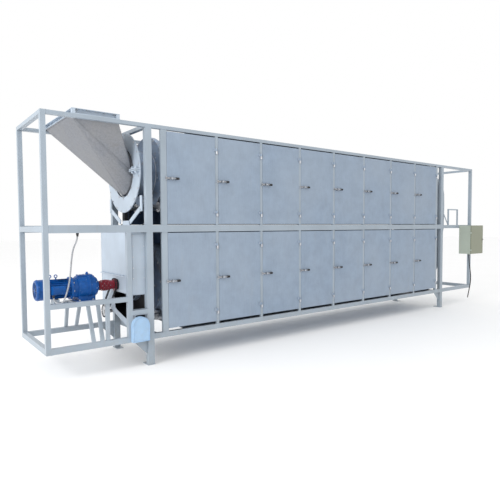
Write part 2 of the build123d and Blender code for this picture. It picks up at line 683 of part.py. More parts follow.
def transfer_hood():
    """Bulged casing that drops the product from the upper drum to the lower one."""
    x0 = TRANSFER_X
    y0, y1 = HOOD_Y
    s = SHEET
    outer = upright_oval(x0, x0 + 400, TRANSFER_RADIUS) & prism_y([(x0, 440), (x0, 2660)] + BULGE, y0, y1)
    shrunk = [(x - s, z) for x, z in BULGE]
    cavity = prism_y([(x0 + s, 440), (x0 + s, 2660)] + shrunk, y0, y1)
    casing = outer - (upright_oval(x0 + s, x0 + 400, TRANSFER_RADIUS - s) & cavity)
    for axis_z, neck in ((UPPER_DRUM_Z, UPPER_NECK_RADIUS), (LOWER_DRUM_Z, LOWER_NECK_RADIUS)):
        casing = casing - rod_x(x0 - 1, x0 + s + 1, DRUM_Y, axis_z, neck + 3)
    cap_y, cap_z = 240, 2000
    cap = rod_x(7290, 7350, cap_y, cap_z, 70) + rod_x(7349, 7372, cap_y, cap_z, 52)
    grip = block(7372, 7392, cap_y - 8, cap_y + 8, cap_z + 30, cap_z + 44)
    grip = grip + block(7386, 7392, cap_y - 8, cap_y + 8, cap_z - 30, cap_z + 44)
    grip = grip + block(7372, 7392, cap_y - 8, cap_y + 8, cap_z - 44, cap_z - 30)
    return [casing, cap - outer, grip]


# ---------------------------------------------------------------- drive

def gearmotor():
    y, z = DRIVE_Y, DRIVE_Z
    cowl = rod_x(22, 120, y, z, 112)
    rim = [e for e in cowl.edges() if e.geom_type == GeomType.CIRCLE and e.center().X + ORIGIN_X < 30]
    cowl = fillet(rim, 22) - rod_x(21, 27, y, z, 84)
    for i in range(6):
        angle = radians(30 * i)
        slat = block(21, 28, y - 85, y + 85, z - 3, z + 3)
        cowl = cowl + Pos(0, y - ORIGIN_Y, z) * Rot(degrees(angle), 0, 0) * Pos(0, ORIGIN_Y - y, -z) * slat
    motor = rod_x(120, 375, y, z, 92)
    for i in range(24):
        fin = block(122, 368, y - 2, y + 2, z + 90, z + 108)
        motor = motor + Pos(0, y - ORIGIN_Y, z) * Rot(15 * i, 0, 0) * Pos(0, ORIGIN_Y - y, -z) * fin
    terminal = block(165, 300, y - 160, y - 88, z - 45, z + 45)
    adapter = rod_x(375, 400, y, z, 125)
    housing = rod_x(400, 452, y, z, 112) + rod_x(452, 560, y, z, 128) + rod_x(560, 585, y, z, 136)
    housing = housing + rod_x(585, 645, y, z, 126) + rod_x(645, 672, y, z, 102) + rod_x(672, 692, y, z, 66)
    housing = housing + block(440, 630, y - 120, y + 120, 729, 746)
    housing = housing + block(460, 640, y - 90, y + 90, 745, z)
    filler = block(468, 625, y - 44, y + 44, z + 110, z + 140) + rod_z(z + 130, z + 168, 577, y, 12)
    housing = housing - rod_x(672, 694, y, z, 27)
    pieces = [cowl, motor + terminal + adapter, housing + filler]
    for x in (176, 240):
        eye = Pos(x - ORIGIN_X, y - ORIGIN_Y, z + 140) * Rot(90, 0, 0) * Torus(15, 5)
        pieces.append(eye + rod_z(z + 108.5, z + 130, x, y, 7))
    return pieces


def coupling_shaft():
    """Ribbed coupling, output shaft and the drive sprocket."""
    y, z = DRIVE_Y, DRIVE_Z
    shaft = rod_x(682, 928, y, z, 20)
    body = rod_x(708, 884, y, z, 50)
    for i, radius in enumerate((55, 61, 64, 64, 61, 55)):
        body = body + rod_x(714 + 24 * i, 730 + 24 * i, y, z, radius)
    return shaft + body + sprocket(890, y, z, DRIVE_TEETH)


def motor_stand():
    """Base frame on four legs splayed to the bottom rails, and a post under the stringer."""
    top = 729
    under = top - 40
    rail_top = RAIL_BASE_Z + BOTTOM_RAIL_HEIGHT
    width = 36
    pieces = [block(380, 665, 330, 366, under, top), block(380, 665, 634, 670, under, top)]
    for x in (380, 450, 629):
        pieces.append(block(x, x + width, 366, 634, under, top))
    front_foot = 25
    back_foot = FRAME_DEPTH - 26
    legs = (((532, 348), (480, front_foot)), ((643, 348), (572, front_foot)),
            ((400, 652), (485, back_foot)), ((542, 652), (609, back_foot)))
    for upper, lower in legs:
        head = Pos(upper[0] - ORIGIN_X, upper[1] - ORIGIN_Y, under) * Rectangle(width, width)
        foot = Pos(lower[0] - ORIGIN_X, lower[1] - ORIGIN_Y, rail_top) * Rectangle(width, width)
        pieces.append(loft([foot, head]))
    pieces.append(hollow_bar(612, 650, 6, 44, rail_top, STRINGER_Z, "z"))
    pieces.append(block(200, 380, 420, 440, top - 30, top))
    pieces.append(block(200, 380, 560, 580, top - 30, top))
    pieces.append(block(200, 260, 440, 560, top - 30, DRIVE_Z - 110))
    return pieces


# ---------------------------------------------------------------- control box

def control_box():
    x0, x1 = BOX_X
    y0, y1 = BOX_Y
    z0, z1 = BOX_Z
    body = block(x0, x1, y0, y1, z0, z1) - block(x0 + 2, x1 - 2, y0 - 1, y1 - 2, z0 + 2, z1 - 2)
    gland = rod_z(z0 - 22, z0 + 1, CABLE_X, CABLE_Y, 17)
    body = body - rod_z(z0 - 1, z0 + 3, CABLE_X, CABLE_Y, 9.3)
    gland = gland - rod_z(z0 - 23, z0 + 2, CABLE_X, CABLE_Y, 9.3)
    pieces = [body + gland]
    axis_y = y0 - BOX_DOOR_THICK - 8
    for z in (z0 + 90, z1 - 130):
        arm = block(x0 - 8, x0, axis_y, y0 + 20, z - 31, z - 1)
        barrel = rod_z(z - 31, z - 1, x0 - 4, axis_y, 6) + rod_z(z - 31, z + 30, x0 - 4, axis_y, 3)
        pieces.append(arm + barrel)
    return pieces


def control_box_door():
    x0, x1 = BOX_X
    y0 = BOX_Y[0] - 1 - BOX_DOOR_THICK
    z0, z1 = BOX_Z
    panel = block(x0 + 3, x1, y0, y0 + BOX_DOOR_THICK, z0 + 1, z1 - 1)
    axis_y = BOX_Y[0] - BOX_DOOR_THICK - 8
    for z in (z0 + 90, z1 - 130):
        leaf = block(x0 - 4, x0 + 30, axis_y + 1, y0 + 2, z, z + 29)
        barrel = rod_z(z, z + 29, x0 - 4, axis_y, 6)
        panel = panel + leaf + barrel
        panel = panel - rod_z(z - 1, z + 30, x0 - 4, axis_y, 3 + RUNNING_GAP)
    lock = rod_y(y0 - 12, y0 + 1, x1 - 28, (z0 + z1) / 2, 14)
    key = block(x1 - 31, x1 - 25, y0 - 22, y0 - 11, (z0 + z1) / 2 - 11, (z0 + z1) / 2 + 11)
    return [panel + lock + key]


# ---------------------------------------------------------------- cables

CABLE_X = 7930
CABLE_Y = -112
SUPPLY_DIAMETER = 18
CONDUIT_DIAMETER = 16

SUPPLY_ROUTE = [
    (7930, -112, 978),
    (7938, -114, 830),
    (7975, -118, 680),
    (8003, -120, 530),
    (7988, -118, 385),
    (7944, -114, 250),
    (7905, -110, 125),
]

CONDUIT_ROUTE = [
    (336, 27, 1495),
    (336, 27, 1430),
    (313, 105, 1335),
    (309, 156, 1215),
    (309, 192, 1095),
    (302, 214, 985),
    (288, 248, 880),
    (270, 298, 785),
    (245, 322, 745),
    (208, 357, 745),
    (182, 380, 785),
    (182, 380, 838),
]


def cord(name, route, diameter):
    """Round cord along straight runs joined by tangent arcs."""
    points = [Vector(x - ORIGIN_X, y - ORIGIN_Y, z) for x, y, z in route]
    radii = []
    for i in range(1, len(points) - 1):
        before = points[i] - points[i - 1]
        after = points[i + 1] - points[i]
        half_turn = radians(before.get_angle(after)) / 2
        radii.append(0.45 * min(before.length, after.length) / tan(half_turn))
    path = FilletPolyline(*points, radius=radii)
    start = Plane(origin=points[0], z_dir=points[1] - points[0])
    tube = sweep(start * Circle(diameter / 2), path=path)
    expected = pi * (diameter / 2) ** 2 * path.length
    share = round(tube.volume / expected, 3)
    print(name, "length", round(path.length), "radii", [round(r) for r in radii], "volume ratio", share)
    return tube


def main():
    os.makedirs("parts", exist_ok=True)
    write("end_posts", end_posts())
    write("main_legs", main_legs())
    write("long_rails", long_rails())
    write("cross_rails", cross_rails())
    write("cabinet_mullions", cabinet_mullions())
    write("cabinet_panels", cabinet_panels())
    write("door_hardware", door_hardware())
    for name, edge, span in door_places():
        write("door_" + name, [door(edge, span)])
        write("latch_" + name, [latch(edge, span)])
    upper = drum(UPPER_DRUM_Z, UPPER_DRUM_X, UPPER_NECK_RADIUS, 1060, 7080)
    write("upper_drum", staves(upper, UPPER_DRUM_Z, 1000, 7200))
    lower = drum(LOWER_DRUM_Z, LOWER_DRUM_X, LOWER_NECK_RADIUS, 1100, 7080)
    write("lower_drum", staves(lower, LOWER_DRUM_Z, 1000, 7200))
    upper_front, upper_back = roller_places(UPPER_DRUM_Z)
    lower_front, lower_back = roller_places(LOWER_DRUM_Z)
    write("roller_upper_front", [roller_shaft(*upper_front, UPPER_DRUM_X, 1163, [])])
    write("roller_upper_back", [roller_shaft(*upper_back, UPPER_DRUM_X, 1163, [(1222, VERTICAL_TEETH)])])
    write("roller_lower_front", [roller_shaft(*lower_front, LOWER_DRUM_X, 1163, [])])
    wheels = [(890, DRIVE_TEETH), (1222, VERTICAL_TEETH)]
    write("roller_lower_back", [roller_shaft(*lower_back, LOWER_DRUM_X, 886, wheels)])
    write("roller_bearings", bearings())
    first = chain_loop(890, (DRIVE_Y, DRIVE_Z), lower_back, DRIVE_TEETH, DRIVE_TEETH)
    second = chain_loop(1222, lower_back, upper_back, VERTICAL_TEETH, VERTICAL_TEETH)
    write("drive_chains", [first, second])
    write("feed_chute", feed_chute())
    write("feed_collar", feed_collar())
    write("seal_ring", seal_ring())
    write("discharge_hood", discharge_hood())
    write("outlet_spout", outlet_spout())
    write("transfer_hood", transfer_hood())
    write("gearmotor", gearmotor())
    write("coupling_shaft", [coupling_shaft()])
    write("motor_stand", motor_stand())
    write("control_box", control_box())
    write("control_box_door", control_box_door())
    write("supply_cable", [cord("supply_cable", SUPPLY_ROUTE, SUPPLY_DIAMETER)])
    write("conduit_cable", [cord("conduit_cable", CONDUIT_ROUTE, CONDUIT_DIAMETER)])


main()
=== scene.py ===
import json
from math import atan2, cos, pi, radians, sin

import bmesh
import bpy
from bpy.props import FloatProperty, FloatVectorProperty, PointerProperty
from mathutils import Matrix, Vector


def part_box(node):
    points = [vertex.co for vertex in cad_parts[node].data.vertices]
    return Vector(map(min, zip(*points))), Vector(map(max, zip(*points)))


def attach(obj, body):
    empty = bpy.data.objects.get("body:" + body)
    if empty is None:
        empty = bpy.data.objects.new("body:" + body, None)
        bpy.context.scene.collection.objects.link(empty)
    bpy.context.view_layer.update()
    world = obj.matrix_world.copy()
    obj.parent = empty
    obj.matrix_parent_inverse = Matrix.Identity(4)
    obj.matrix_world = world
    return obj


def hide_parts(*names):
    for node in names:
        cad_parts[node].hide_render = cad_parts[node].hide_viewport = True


bl_info = {
    "name": "Drum Dryer Finish",
    "version": (1, 0, 0),
    "blender": (4, 5, 0),
    "location": "View3D > Sidebar > Drum Dryer",
    "description": "Finishes and small parts of a two-deck rotary drum dryer",
    "category": "Object",
}

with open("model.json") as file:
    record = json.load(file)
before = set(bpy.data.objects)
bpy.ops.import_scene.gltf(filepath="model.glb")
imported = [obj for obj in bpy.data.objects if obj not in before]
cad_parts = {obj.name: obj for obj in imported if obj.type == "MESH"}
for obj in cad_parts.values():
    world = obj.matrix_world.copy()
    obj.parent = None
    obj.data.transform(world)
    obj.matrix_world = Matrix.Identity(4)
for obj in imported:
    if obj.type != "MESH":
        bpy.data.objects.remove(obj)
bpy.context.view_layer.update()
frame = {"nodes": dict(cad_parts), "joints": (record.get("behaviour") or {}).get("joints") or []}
ROOT = "machine_frame"
DOOR_NAMES = [row + "_" + str(i) for row in ("upper", "lower") for i in range(1, 9)]
MASK_EDGE = 0.0005
SHEET_HALF = 0.0015
FRAME_NODES = ("end_posts", "main_legs", "long_rails", "cross_rails", "cabinet_mullions", "motor_stand")


def joint_place(name):
    """Pivot point of a joint in the record."""
    joint = next(j for j in frame["joints"] if j["name"] == name)
    return Vector(joint["pos_m"])


LOWER_AXIS = joint_place("lower_drum_spin")
UPPER_AXIS = joint_place("upper_drum_spin")
DRIVE_AXIS = joint_place("coupling_shaft_spin")
LOWER_BACK_SHAFT = joint_place("roller_lower_back_spin")
UPPER_BACK_SHAFT = joint_place("roller_upper_back_spin")


UPPER_DRUM_END = -2.790
LOWER_DRUM_END = -2.835
DRUM_RIGHT_END = 2.870
TYRE_WIDTH = 0.060
# Box inside the discharge hood whose faces get near-black painted shade.
HOOD_INSIDE = ((-3.1885, -0.4595, 0.30), (-2.9665, 0.4595, 1.4885))
HOOD_SIDE = 0.461
RING_FACE = -3.080
CHUTE_MOUTH = -3.085
CHUTE_RADIUS = 0.255
CHUTE_WIDTH = 0.490
DOOR_ROWS = ((0.385, 1.485), (1.585, 2.635))
HINGE_FROM_FOOT = 0.130
HINGE_FROM_HEAD = 0.165


# ------------------------------------------------------------ user settings

def colour(name, description, default):
    return FloatVectorProperty(name=name, description=description, default=default, subtype="COLOR",
                               size=3, min=0.0, max=1.0)


def length(name, description, default):
    return FloatProperty(name=name, description=description, default=default, min=0.0, unit="LENGTH")


def amount(name, description, default):
    return FloatProperty(name=name, description=description, default=default, min=0.0)


class PaintSettings(bpy.types.PropertyGroup):
    """Colours of the painted and bare parts."""
    frame_paint: colour("Frame paint", "Tube frame", (0.31, 0.365, 0.42))
    door_paint: colour("Door paint", "Cabinet doors and panels", (0.245, 0.31, 0.40))
    hood_paint: colour("Hood paint", "Rings and hoods", (0.42, 0.49, 0.57))
    # Bluer copy of the pale paint for the arched outlet: painted shade, the outlet standing in deep shade.
    outlet_paint: colour("Outlet paint", "Arched outlet", (0.33, 0.50, 0.70))
    bare_sheet: colour("Bare sheet", "Feed chute", (0.25, 0.26, 0.285))
    motor_paint: colour("Motor paint", "Gearmotor", (0.001, 0.075, 0.30))
    coupling_paint: colour("Coupling paint", "Drive coupling", (0.25, 0.020, 0.036))
    drum_steel: colour("Drum steel", "Rolled drum shells", (0.27, 0.35, 0.47))
    box_paint: colour("Box paint", "Control box body", (0.385, 0.43, 0.365))
    # Darker copy of the box's coat for its front-facing door: painted shade.
    box_door_paint: colour("Box door paint", "Control box door", (0.24, 0.255, 0.185))


class FittingSettings(bpy.types.PropertyGroup):
    """Sizes of the small parts."""
    skin_margin: length("Skin margin", "Bare edge round a door's outer skin", 0.003)
    skin_round: length("Skin rounding", "Rounding of a door skin's edge", 0.0018)
    bolt_radius: length("Bolt head radius", "Across half a bolt head's corners", 0.010)
    bolt_height: length("Bolt head height", "Height of a bolt head", 0.007)
    bead_radius: length("Weld bead radius", "Half the width of a weld bead", 0.0042)
    bead_step: length("Weld ripple", "Distance between ripples of a weld", 0.0065)
    grip_wall: length("Grip wall", "Thickness of a latch's rubber sleeve", 0.0012)


class CordSettings(bpy.types.PropertyGroup):
    """Sizes of the two cables."""
    supply_diameter: length("Supply cable", "Outside diameter of the supply cable", 0.018)
    conduit_diameter: length("Conduit", "Outside diameter of the motor's conduit", 0.016)


class StageSettings(bpy.types.PropertyGroup):
    """Floor, lights and camera."""
    floor_colour: colour("Floor", "Colour of the floor and backdrop", (0.98, 0.98, 0.98))
    key_power: amount("Key light", "Power of the large left light in watts", 800.0)
    fill_power: amount("Fill light", "Power of the front light in watts", 60.0)
    sky_strength: amount("Sky", "Brightness of the surroundings", 1.0)
    lens: FloatProperty(name="Lens", description="Focal length in millimetres", default=33.66, min=1.0)


# ------------------------------------------------------------ node helpers

def fresh_material(name):
    """Empty node material with its shader, output and object coordinates."""
    material = bpy.data.materials.new(name)
    material.use_nodes = True
    tree = material.node_tree
    tree.nodes.clear()
    output = tree.nodes.new("ShaderNodeOutputMaterial")
    shader = tree.nodes.new("ShaderNodeBsdfPrincipled")
    tree.links.new(shader.outputs["BSDF"], output.inputs["Surface"])
    place = tree.nodes.new("ShaderNodeTexCoord")
    return material, tree, shader, place.outputs["Object"]


def mapped(tree, source, scale):
    node = tree.nodes.new("ShaderNodeMapping")
    node.inputs["Scale"].default_value = scale
    tree.links.new(source, node.inputs["Vector"])
    return node.outputs["Vector"]


def noise(tree, source, scale, detail=4.0, roughness=0.55):
    node = tree.nodes.new("ShaderNodeTexNoise")
    node.inputs["Scale"].default_value = scale
    node.inputs["Detail"].default_value = detail
    node.inputs["Roughness"].default_value = roughness
    tree.links.new(source, node.inputs["Vector"])
    return node.outputs["Fac"]


def ramp(tree, value, low, high, low_out=0.0, high_out=1.0):
    """Clamped change of range."""
    node = tree.nodes.new("ShaderNodeMapRange")
    node.clamp = True
    node.inputs["From Min"].default_value = low
    node.inputs["From Max"].default_value = high
    node.inputs["To Min"].default_value = low_out
    node.inputs["To Max"].default_value = high_out
    tree.links.new(value, node.inputs["Value"])
    return node.outputs["Result"]


def blend_colours(tree, share, first, second):
    """Mix of two colours, each a tuple or a socket."""
    node = tree.nodes.new("ShaderNodeMix")
    node.data_type = "RGBA"
    if isinstance(share, float):
        node.inputs["Factor"].default_value = share
    else:
        tree.links.new(share, node.inputs["Factor"])
    for socket, value in ((node.inputs["A"], first), (node.inputs["B"], second)):
        if isinstance(value, tuple):
            socket.default_value = (*value, 1.0)
        else:
            tree.links.new(value, socket)
    return node.outputs["Result"]


def multiply(tree, first, second):
    node = tree.nodes.new("ShaderNodeMath")
    node.operation = "MULTIPLY"
    tree.links.new(first, node.inputs[0])
    if isinstance(second, float):
        node.inputs[1].default_value = second
    else:
        tree.links.new(second, node.inputs[1])
    return node.outputs["Value"]


def add(tree, first, second):
    node = tree.nodes.new("ShaderNodeMath")
    node.operation = "ADD"
    tree.links.new(first, node.inputs[0])
    tree.links.new(second, node.inputs[1])
    return node.outputs["Value"]


def bump(tree, shader, height, distance, strength=1.0):
    node = tree.nodes.new("ShaderNodeBump")
    node.inputs["Distance"].default_value = distance
    node.inputs["Strength"].default_value = strength
    tree.links.new(height, node.inputs["Height"])
    tree.links.new(node.outputs["Normal"], shader.inputs["Normal"])


def height_of(tree, source):
    """Height above the floor at the shaded point."""
    node = tree.nodes.new("ShaderNodeSeparateXYZ")
    tree.links.new(source, node.inputs["Vector"])
    return node.outputs["Z"]


def inside_mask(tree, source, low, high):
    """One inside a box, zero outside it."""
    split = tree.nodes.new("ShaderNodeSeparateXYZ")
    tree.links.new(source, split.inputs["Vector"])
    share = None
    for axis, near, far in zip("XYZ", low, high):
        value = split.outputs[axis]
        past_near = ramp(tree, value, near, near + MASK_EDGE)
        within = multiply(tree, past_near, ramp(tree, value, far, far - MASK_EDGE))
        share = within if share is None else multiply(tree, share, within)
    return share


def darken_inside(material, low, high, rgb):
    """Paints everything inside a box in a second, dark colour, as painted shade for insides that lie in
    shadow.
    """
    tree = material.node_tree
    shader = next(node for node in tree.nodes if node.type == "BSDF_PRINCIPLED")
    place = next(node for node in tree.nodes if node.type == "TEX_COORD").outputs["Object"]
    outside = shader.inputs["Base Color"].links[0].from_socket
    # Mottle within the painted shade colour.
    shade_mottle = noise(tree, place, 8.0, 6.0, 0.7)
    dark = blend_colours(tree, ramp(tree, shade_mottle, 0.35, 0.70), scaled(rgb, 0.6), scaled(rgb, 1.5))
    mixed = blend_colours(tree, inside_mask(tree, place, low, high), outside, dark)
    tree.links.new(mixed, shader.inputs["Base Color"])
    return material


def scaled(rgb, factor):
    return tuple(min(1.0, max(0.0, c * factor)) for c in rgb)


# ------------------------------------------------------------ finishes

def sprayed_paint(name, rgb, gloss, cloud=0.12, grime=0.35, chips=0.5):
    """Sprayed enamel over steel: cloudy tone, orange peel, dust runs and small chips."""
    material, tree, shader, place = fresh_material(name)
    rgb = tuple(rgb)
    tone = noise(tree, place, 2.6, 5.0)
    base = blend_colours(tree, ramp(tree, tone, 0.30, 0.70), scaled(rgb, 1 - cloud), scaled(rgb, 1 + cloud))
    runs = noise(tree, mapped(tree, place, (26.0, 26.0, 1.3)), 1.0, 5.0, 0.62)
    dirt = multiply(tree, ramp(tree, runs, 0.56, 0.80), grime)
    dusty = blend_colours(tree, dirt, base, (0.30, 0.28, 0.25))
    low = ramp(tree, height_of(tree, place), 0.02, 0.75, 0.28, 0.0)
    splash = multiply(tree, ramp(tree, noise(tree, place, 17.0, 6.0, 0.7), 0.45, 0.66), low)
    floored = blend_colours(tree, splash, dusty, (0.30, 0.25, 0.19))
    chip_mask = ramp(tree, noise(tree, place, 46.0, 6.0, 0.66), 0.735, 0.76, 0.0, chips)
    chipped = blend_colours(tree, chip_mask, floored, (0.17, 0.12, 0.09))
    tree.links.new(chipped, shader.inputs["Base Color"])
    peel = noise(tree, place, 420.0, 2.0)
    height = add(tree, multiply(tree, peel, 0.5), multiply(tree, chip_mask, -1.0))
    bump(tree, shader, height, 0.0005, 0.55)
    rough = add(tree, ramp(tree, tone, 0.3, 0.7, gloss, gloss + 0.10), multiply(tree, dirt, 0.5))
    tree.links.new(rough, shader.inputs["Roughness"])
    shader.inputs["Coat Weight"].default_value = 0.12
    shader.inputs["Coat Roughness"].default_value = 0.22
    return material


def door_finish(name, rgb):
    """Satin door paint on thin sheet: broad mottle, faint hand marks, oil-canning of the flat sheet."""
    material, tree, shader, place = fresh_material(name)
    rgb = tuple(rgb)
    mottle = noise(tree, place, 5.5, 7.0, 0.68)
    broad = noise(tree, place, 0.9, 2.0)
    base = blend_colours(tree, ramp(tree, mottle, 0.30, 0.72), scaled(rgb, 0.88), scaled(rgb, 1.13))
    warm = blend_colours(tree, ramp(tree, broad, 0.36, 0.66, 0.0, 0.35), base, (0.34, 0.39, 0.45))
    grain = noise(tree, mapped(tree, place, (150.0, 150.0, 9.0)), 1.0, 3.0)
    brushed = blend_colours(tree, ramp(tree, grain, 0.35, 0.70, 0.0, 0.16), warm, scaled(rgb, 1.45))
    streaks = noise(tree, mapped(tree, place, (9.0, 9.0, 1.6)), 1.0, 6.0, 0.7)
    smear = ramp(tree, streaks, 0.58, 0.78, 0.0, 0.26)
    marked = blend_colours(tree, smear, brushed, (0.33, 0.35, 0.36))
    specks = ramp(tree, noise(tree, place, 120.0, 2.0), 0.76, 0.79, 0.0, 0.35)
    final = blend_colours(tree, specks, marked, (0.20, 0.19, 0.18))
    tree.links.new(final, shader.inputs["Base Color"])
    height = add(tree, multiply(tree, broad, 3.0), multiply(tree, grain, 0.05))
    bump(tree, shader, height, 0.0016, 0.7)
    tree.links.new(ramp(tree, mottle, 0.3, 0.7, 0.36, 0.52), shader.inputs["Roughness"])
    shader.inputs["Metallic"].default_value = 0.18
    return material


def zinc_sheet(name, rgb):
    """Bare galvanised sheet: crystal spangle, fold smears, dull patches."""
    material, tree, shader, place = fresh_material(name)
    rgb = tuple(rgb)
    spangle = tree.nodes.new("ShaderNodeTexVoronoi")
    spangle.inputs["Scale"].default_value = 75.0
    tree.links.new(place, spangle.inputs["Vector"])
    shade = tree.nodes.new("ShaderNodeSeparateColor")
    tree.links.new(spangle.outputs["Color"], shade.inputs["Color"])
    crystal = shade.outputs["Red"]
    base = blend_colours(tree, ramp(tree, crystal, 0.0, 1.0), scaled(rgb, 0.90), scaled(rgb, 1.10))
    haze = noise(tree, place, 3.2, 6.0, 0.66)
    dull = blend_colours(tree, ramp(tree, haze, 0.42, 0.68, 0.0, 0.5), base, (0.36, 0.355, 0.35))
    stain = ramp(tree, noise(tree, mapped(tree, place, (5.0, 5.0, 14.0)), 1.0, 5.0), 0.60, 0.78, 0.0, 0.30)
    stained = blend_colours(tree, stain, dull, (0.24, 0.22, 0.20))
    tree.links.new(stained, shader.inputs["Base Color"])
    height = add(tree, multiply(tree, crystal, 0.15), multiply(tree, noise(tree, place, 6.0, 2.0), 1.2))
    bump(tree, shader, height, 0.0012, 0.6)
    tree.links.new(ramp(tree, haze, 0.3, 0.7, 0.42, 0.66), shader.inputs["Roughness"])
    shader.inputs["Metallic"].default_value = 0.45
    return material


def rolled_steel(name, rgb):
    """Drum plate: mill scale, circular scuffs from turning, dust and heat tint."""
    material, tree, shader, place = fresh_material(name)
    rgb = tuple(rgb)
    scale_patches = noise(tree, place, 4.0, 7.0, 0.7)
    base = blend_colours(tree, ramp(tree, scale_patches, 0.34, 0.66), scaled(rgb, 0.62), scaled(rgb, 1.20))
    turning = noise(tree, mapped(tree, place, (130.0, 2.0, 2.0)), 1.0, 4.0)
    scuffed = blend_colours(tree, ramp(tree, turning, 0.45, 0.75, 0.0, 0.4), base, (0.62, 0.68, 0.75))
    dust = ramp(tree, noise(tree, place, 14.0, 6.0, 0.7), 0.52, 0.72, 0.0, 0.55)
    dusted = blend_colours(tree, dust, scuffed, (0.30, 0.22, 0.15))
    tree.links.new(dusted, shader.inputs["Base Color"])
    bump(tree, shader, add(tree, scale_patches, multiply(tree, turning, 0.4)), 0.0007, 0.6)
    tree.links.new(ramp(tree, scale_patches, 0.3, 0.7, 0.34, 0.6), shader.inputs["Roughness"])
    shader.inputs["Metallic"].default_value = 0.55
    return material


def turned_steel(name):
    """Bright shaft steel with lathe lines and a film of oil."""
    material, tree, shader, place = fresh_material(name)
    lathe = noise(tree, mapped(tree, place, (900.0, 6.0, 6.0)), 1.0, 2.0)
    oil = noise(tree, place, 22.0, 5.0, 0.65)
    base = blend_colours(tree, ramp(tree, lathe, 0.3, 0.7), (0.36, 0.37, 0.39), (0.58, 0.59, 0.61))
    film = blend_colours(tree, ramp(tree, oil, 0.54, 0.74, 0.0, 0.75), base, (0.09, 0.07, 0.05))
    tree.links.new(film, shader.inputs["Base Color"])
    bump(tree, shader, lathe, 0.0003, 0.5)
    tree.links.new(ramp(tree, oil, 0.35, 0.7, 0.22, 0.48), shader.inputs["Roughness"])
    shader.inputs["Metallic"].default_value = 0.9
    return material


def oiled_iron(name):
    """Black cast or forged iron with grease and rubbed highlights."""
    material, tree, shader, place = fresh_material(name)
    cast = noise(tree, place, 160.0, 5.0, 0.7)
    rub = noise(tree, place, 30.0, 5.0, 0.65)
    base = blend_colours(tree, ramp(tree, cast, 0.3, 0.7), (0.012, 0.012, 0.014), (0.045, 0.045, 0.05))
    worn = blend_colours(tree, ramp(tree, rub, 0.62, 0.72, 0.0, 0.8), base, (0.30, 0.29, 0.28))
    tree.links.new(worn, shader.inputs["Base Color"])
    bump(tree, shader, cast, 0.0009, 0.7)
    tree.links.new(ramp(tree, rub, 0.4, 0.7, 0.62, 0.40), shader.inputs["Roughness"])
    shader.inputs["Specular IOR Level"].default_value = 0.22
    shader.inputs["Metallic"].default_value = 0.10
    return material


def plated_metal(name, light, rough):
    """Zinc or chrome plate with fine scratches and finger haze."""
    material, tree, shader, place = fresh_material(name)
    scratch = noise(tree, mapped(tree, place, (60.0, 400.0, 900.0)), 1.0, 3.0)
    haze = noise(tree, place, 48.0, 5.0, 0.6)
    dull = scaled((0.62, 0.63, 0.66), light)
    bright = scaled((0.88, 0.89, 0.92), light)
    base = blend_colours(tree, ramp(tree, haze, 0.35, 0.7), dull, bright)
    spot = ramp(tree, noise(tree, place, 210.0, 3.0), 0.70, 0.75, 0.0, 0.5)
    tree.links.new(blend_colours(tree, spot, base, (0.16, 0.13, 0.10)), shader.inputs["Base Color"])
    bump(tree, shader, scratch, 0.0002, 0.5)
    tree.links.new(ramp(tree, haze, 0.3, 0.7, rough, rough + 0.18), shader.inputs["Roughness"])
    shader.inputs["Metallic"].default_value = 0.95
    return material


def motor_enamel(name, rgb):
    """Thick machine enamel on rough castings, with random darker grease smears."""
    material, tree, shader, place = fresh_material(name)
    rgb = tuple(rgb)
    casting = noise(tree, place, 95.0, 5.0, 0.65)
    tone = noise(tree, place, 7.0, 5.0)
    base = blend_colours(tree, ramp(tree, tone, 0.3, 0.7), scaled(rgb, 0.72), scaled(rgb, 1.25))
    grease = ramp(tree, noise(tree, place, 19.0, 6.0, 0.7), 0.56, 0.74, 0.0, 0.5)
    smeared = blend_colours(tree, grease, base, scaled(rgb, 0.22))
    dust = ramp(tree, noise(tree, place, 60.0, 4.0), 0.60, 0.74, 0.0, 0.22)
    tree.links.new(blend_colours(tree, dust, smeared, (0.42, 0.47, 0.52)), shader.inputs["Base Color"])
    bump(tree, shader, casting, 0.0011, 0.6)
    tree.links.new(ramp(tree, tone, 0.3, 0.7, 0.28, 0.46), shader.inputs["Roughness"])
    shader.inputs["Specular IOR Level"].default_value = 0.28
    shader.inputs["Coat Weight"].default_value = 0.06
    shader.inputs["Coat Roughness"].default_value = 0.15
    return material


def soft_rubber(name, rgb, rough=0.62):
    """Moulded rubber or cable jacket with fine pitting and chalky dust."""
    material, tree, shader, place = fresh_material(name)
    rgb = tuple(rgb)
    pits = noise(tree, place, 380.0, 3.0)
    chalk = noise(tree, place, 36.0, 5.0, 0.65)
    light = tuple(min(1.0, c + 0.16) for c in rgb)
    chalky = blend_colours(tree, ramp(tree, chalk, 0.50, 0.76, 0.0, 0.6), rgb, light)
    tree.links.new(chalky, shader.inputs["Base Color"])
    bump(tree, shader, pits, 0.0004, 0.5)
    tree.links.new(ramp(tree, chalk, 0.3, 0.7, rough, rough + 0.2), shader.inputs["Roughness"])
    return material


def corrugated_sleeve(name):
    """Pale flexible conduit, ribbed across its length, with painted shade in the grooves between the ribs."""
    material, tree, shader, place = fresh_material(name)
    ribs = tree.nodes.new("ShaderNodeTexWave")
    ribs.wave_type = "BANDS"
    ribs.bands_direction = "Z"
    ribs.inputs["Scale"].default_value = 55.0
    ribs.inputs["Distortion"].default_value = 0.0
    tree.links.new(place, ribs.inputs["Vector"])
    dirt = noise(tree, place, 40.0, 5.0, 0.65)
    # Rib grooves darkened as painted shade, crests left pale.
    rib_shade_mask = ramp(tree, ribs.outputs["Fac"], 0.1, 0.6)
    base = blend_colours(tree, rib_shade_mask, (0.22, 0.23, 0.25), (0.55, 0.57, 0.60))
    dirty = blend_colours(tree, ramp(tree, dirt, 0.5, 0.75, 0.0, 0.5), base, (0.16, 0.14, 0.12))
    tree.links.new(dirty, shader.inputs["Base Color"])
    bump(tree, shader, ribs.outputs["Fac"], 0.002, 0.9)
    tree.links.new(ramp(tree, dirt, 0.3, 0.7, 0.42, 0.6), shader.inputs["Roughness"])
    return material


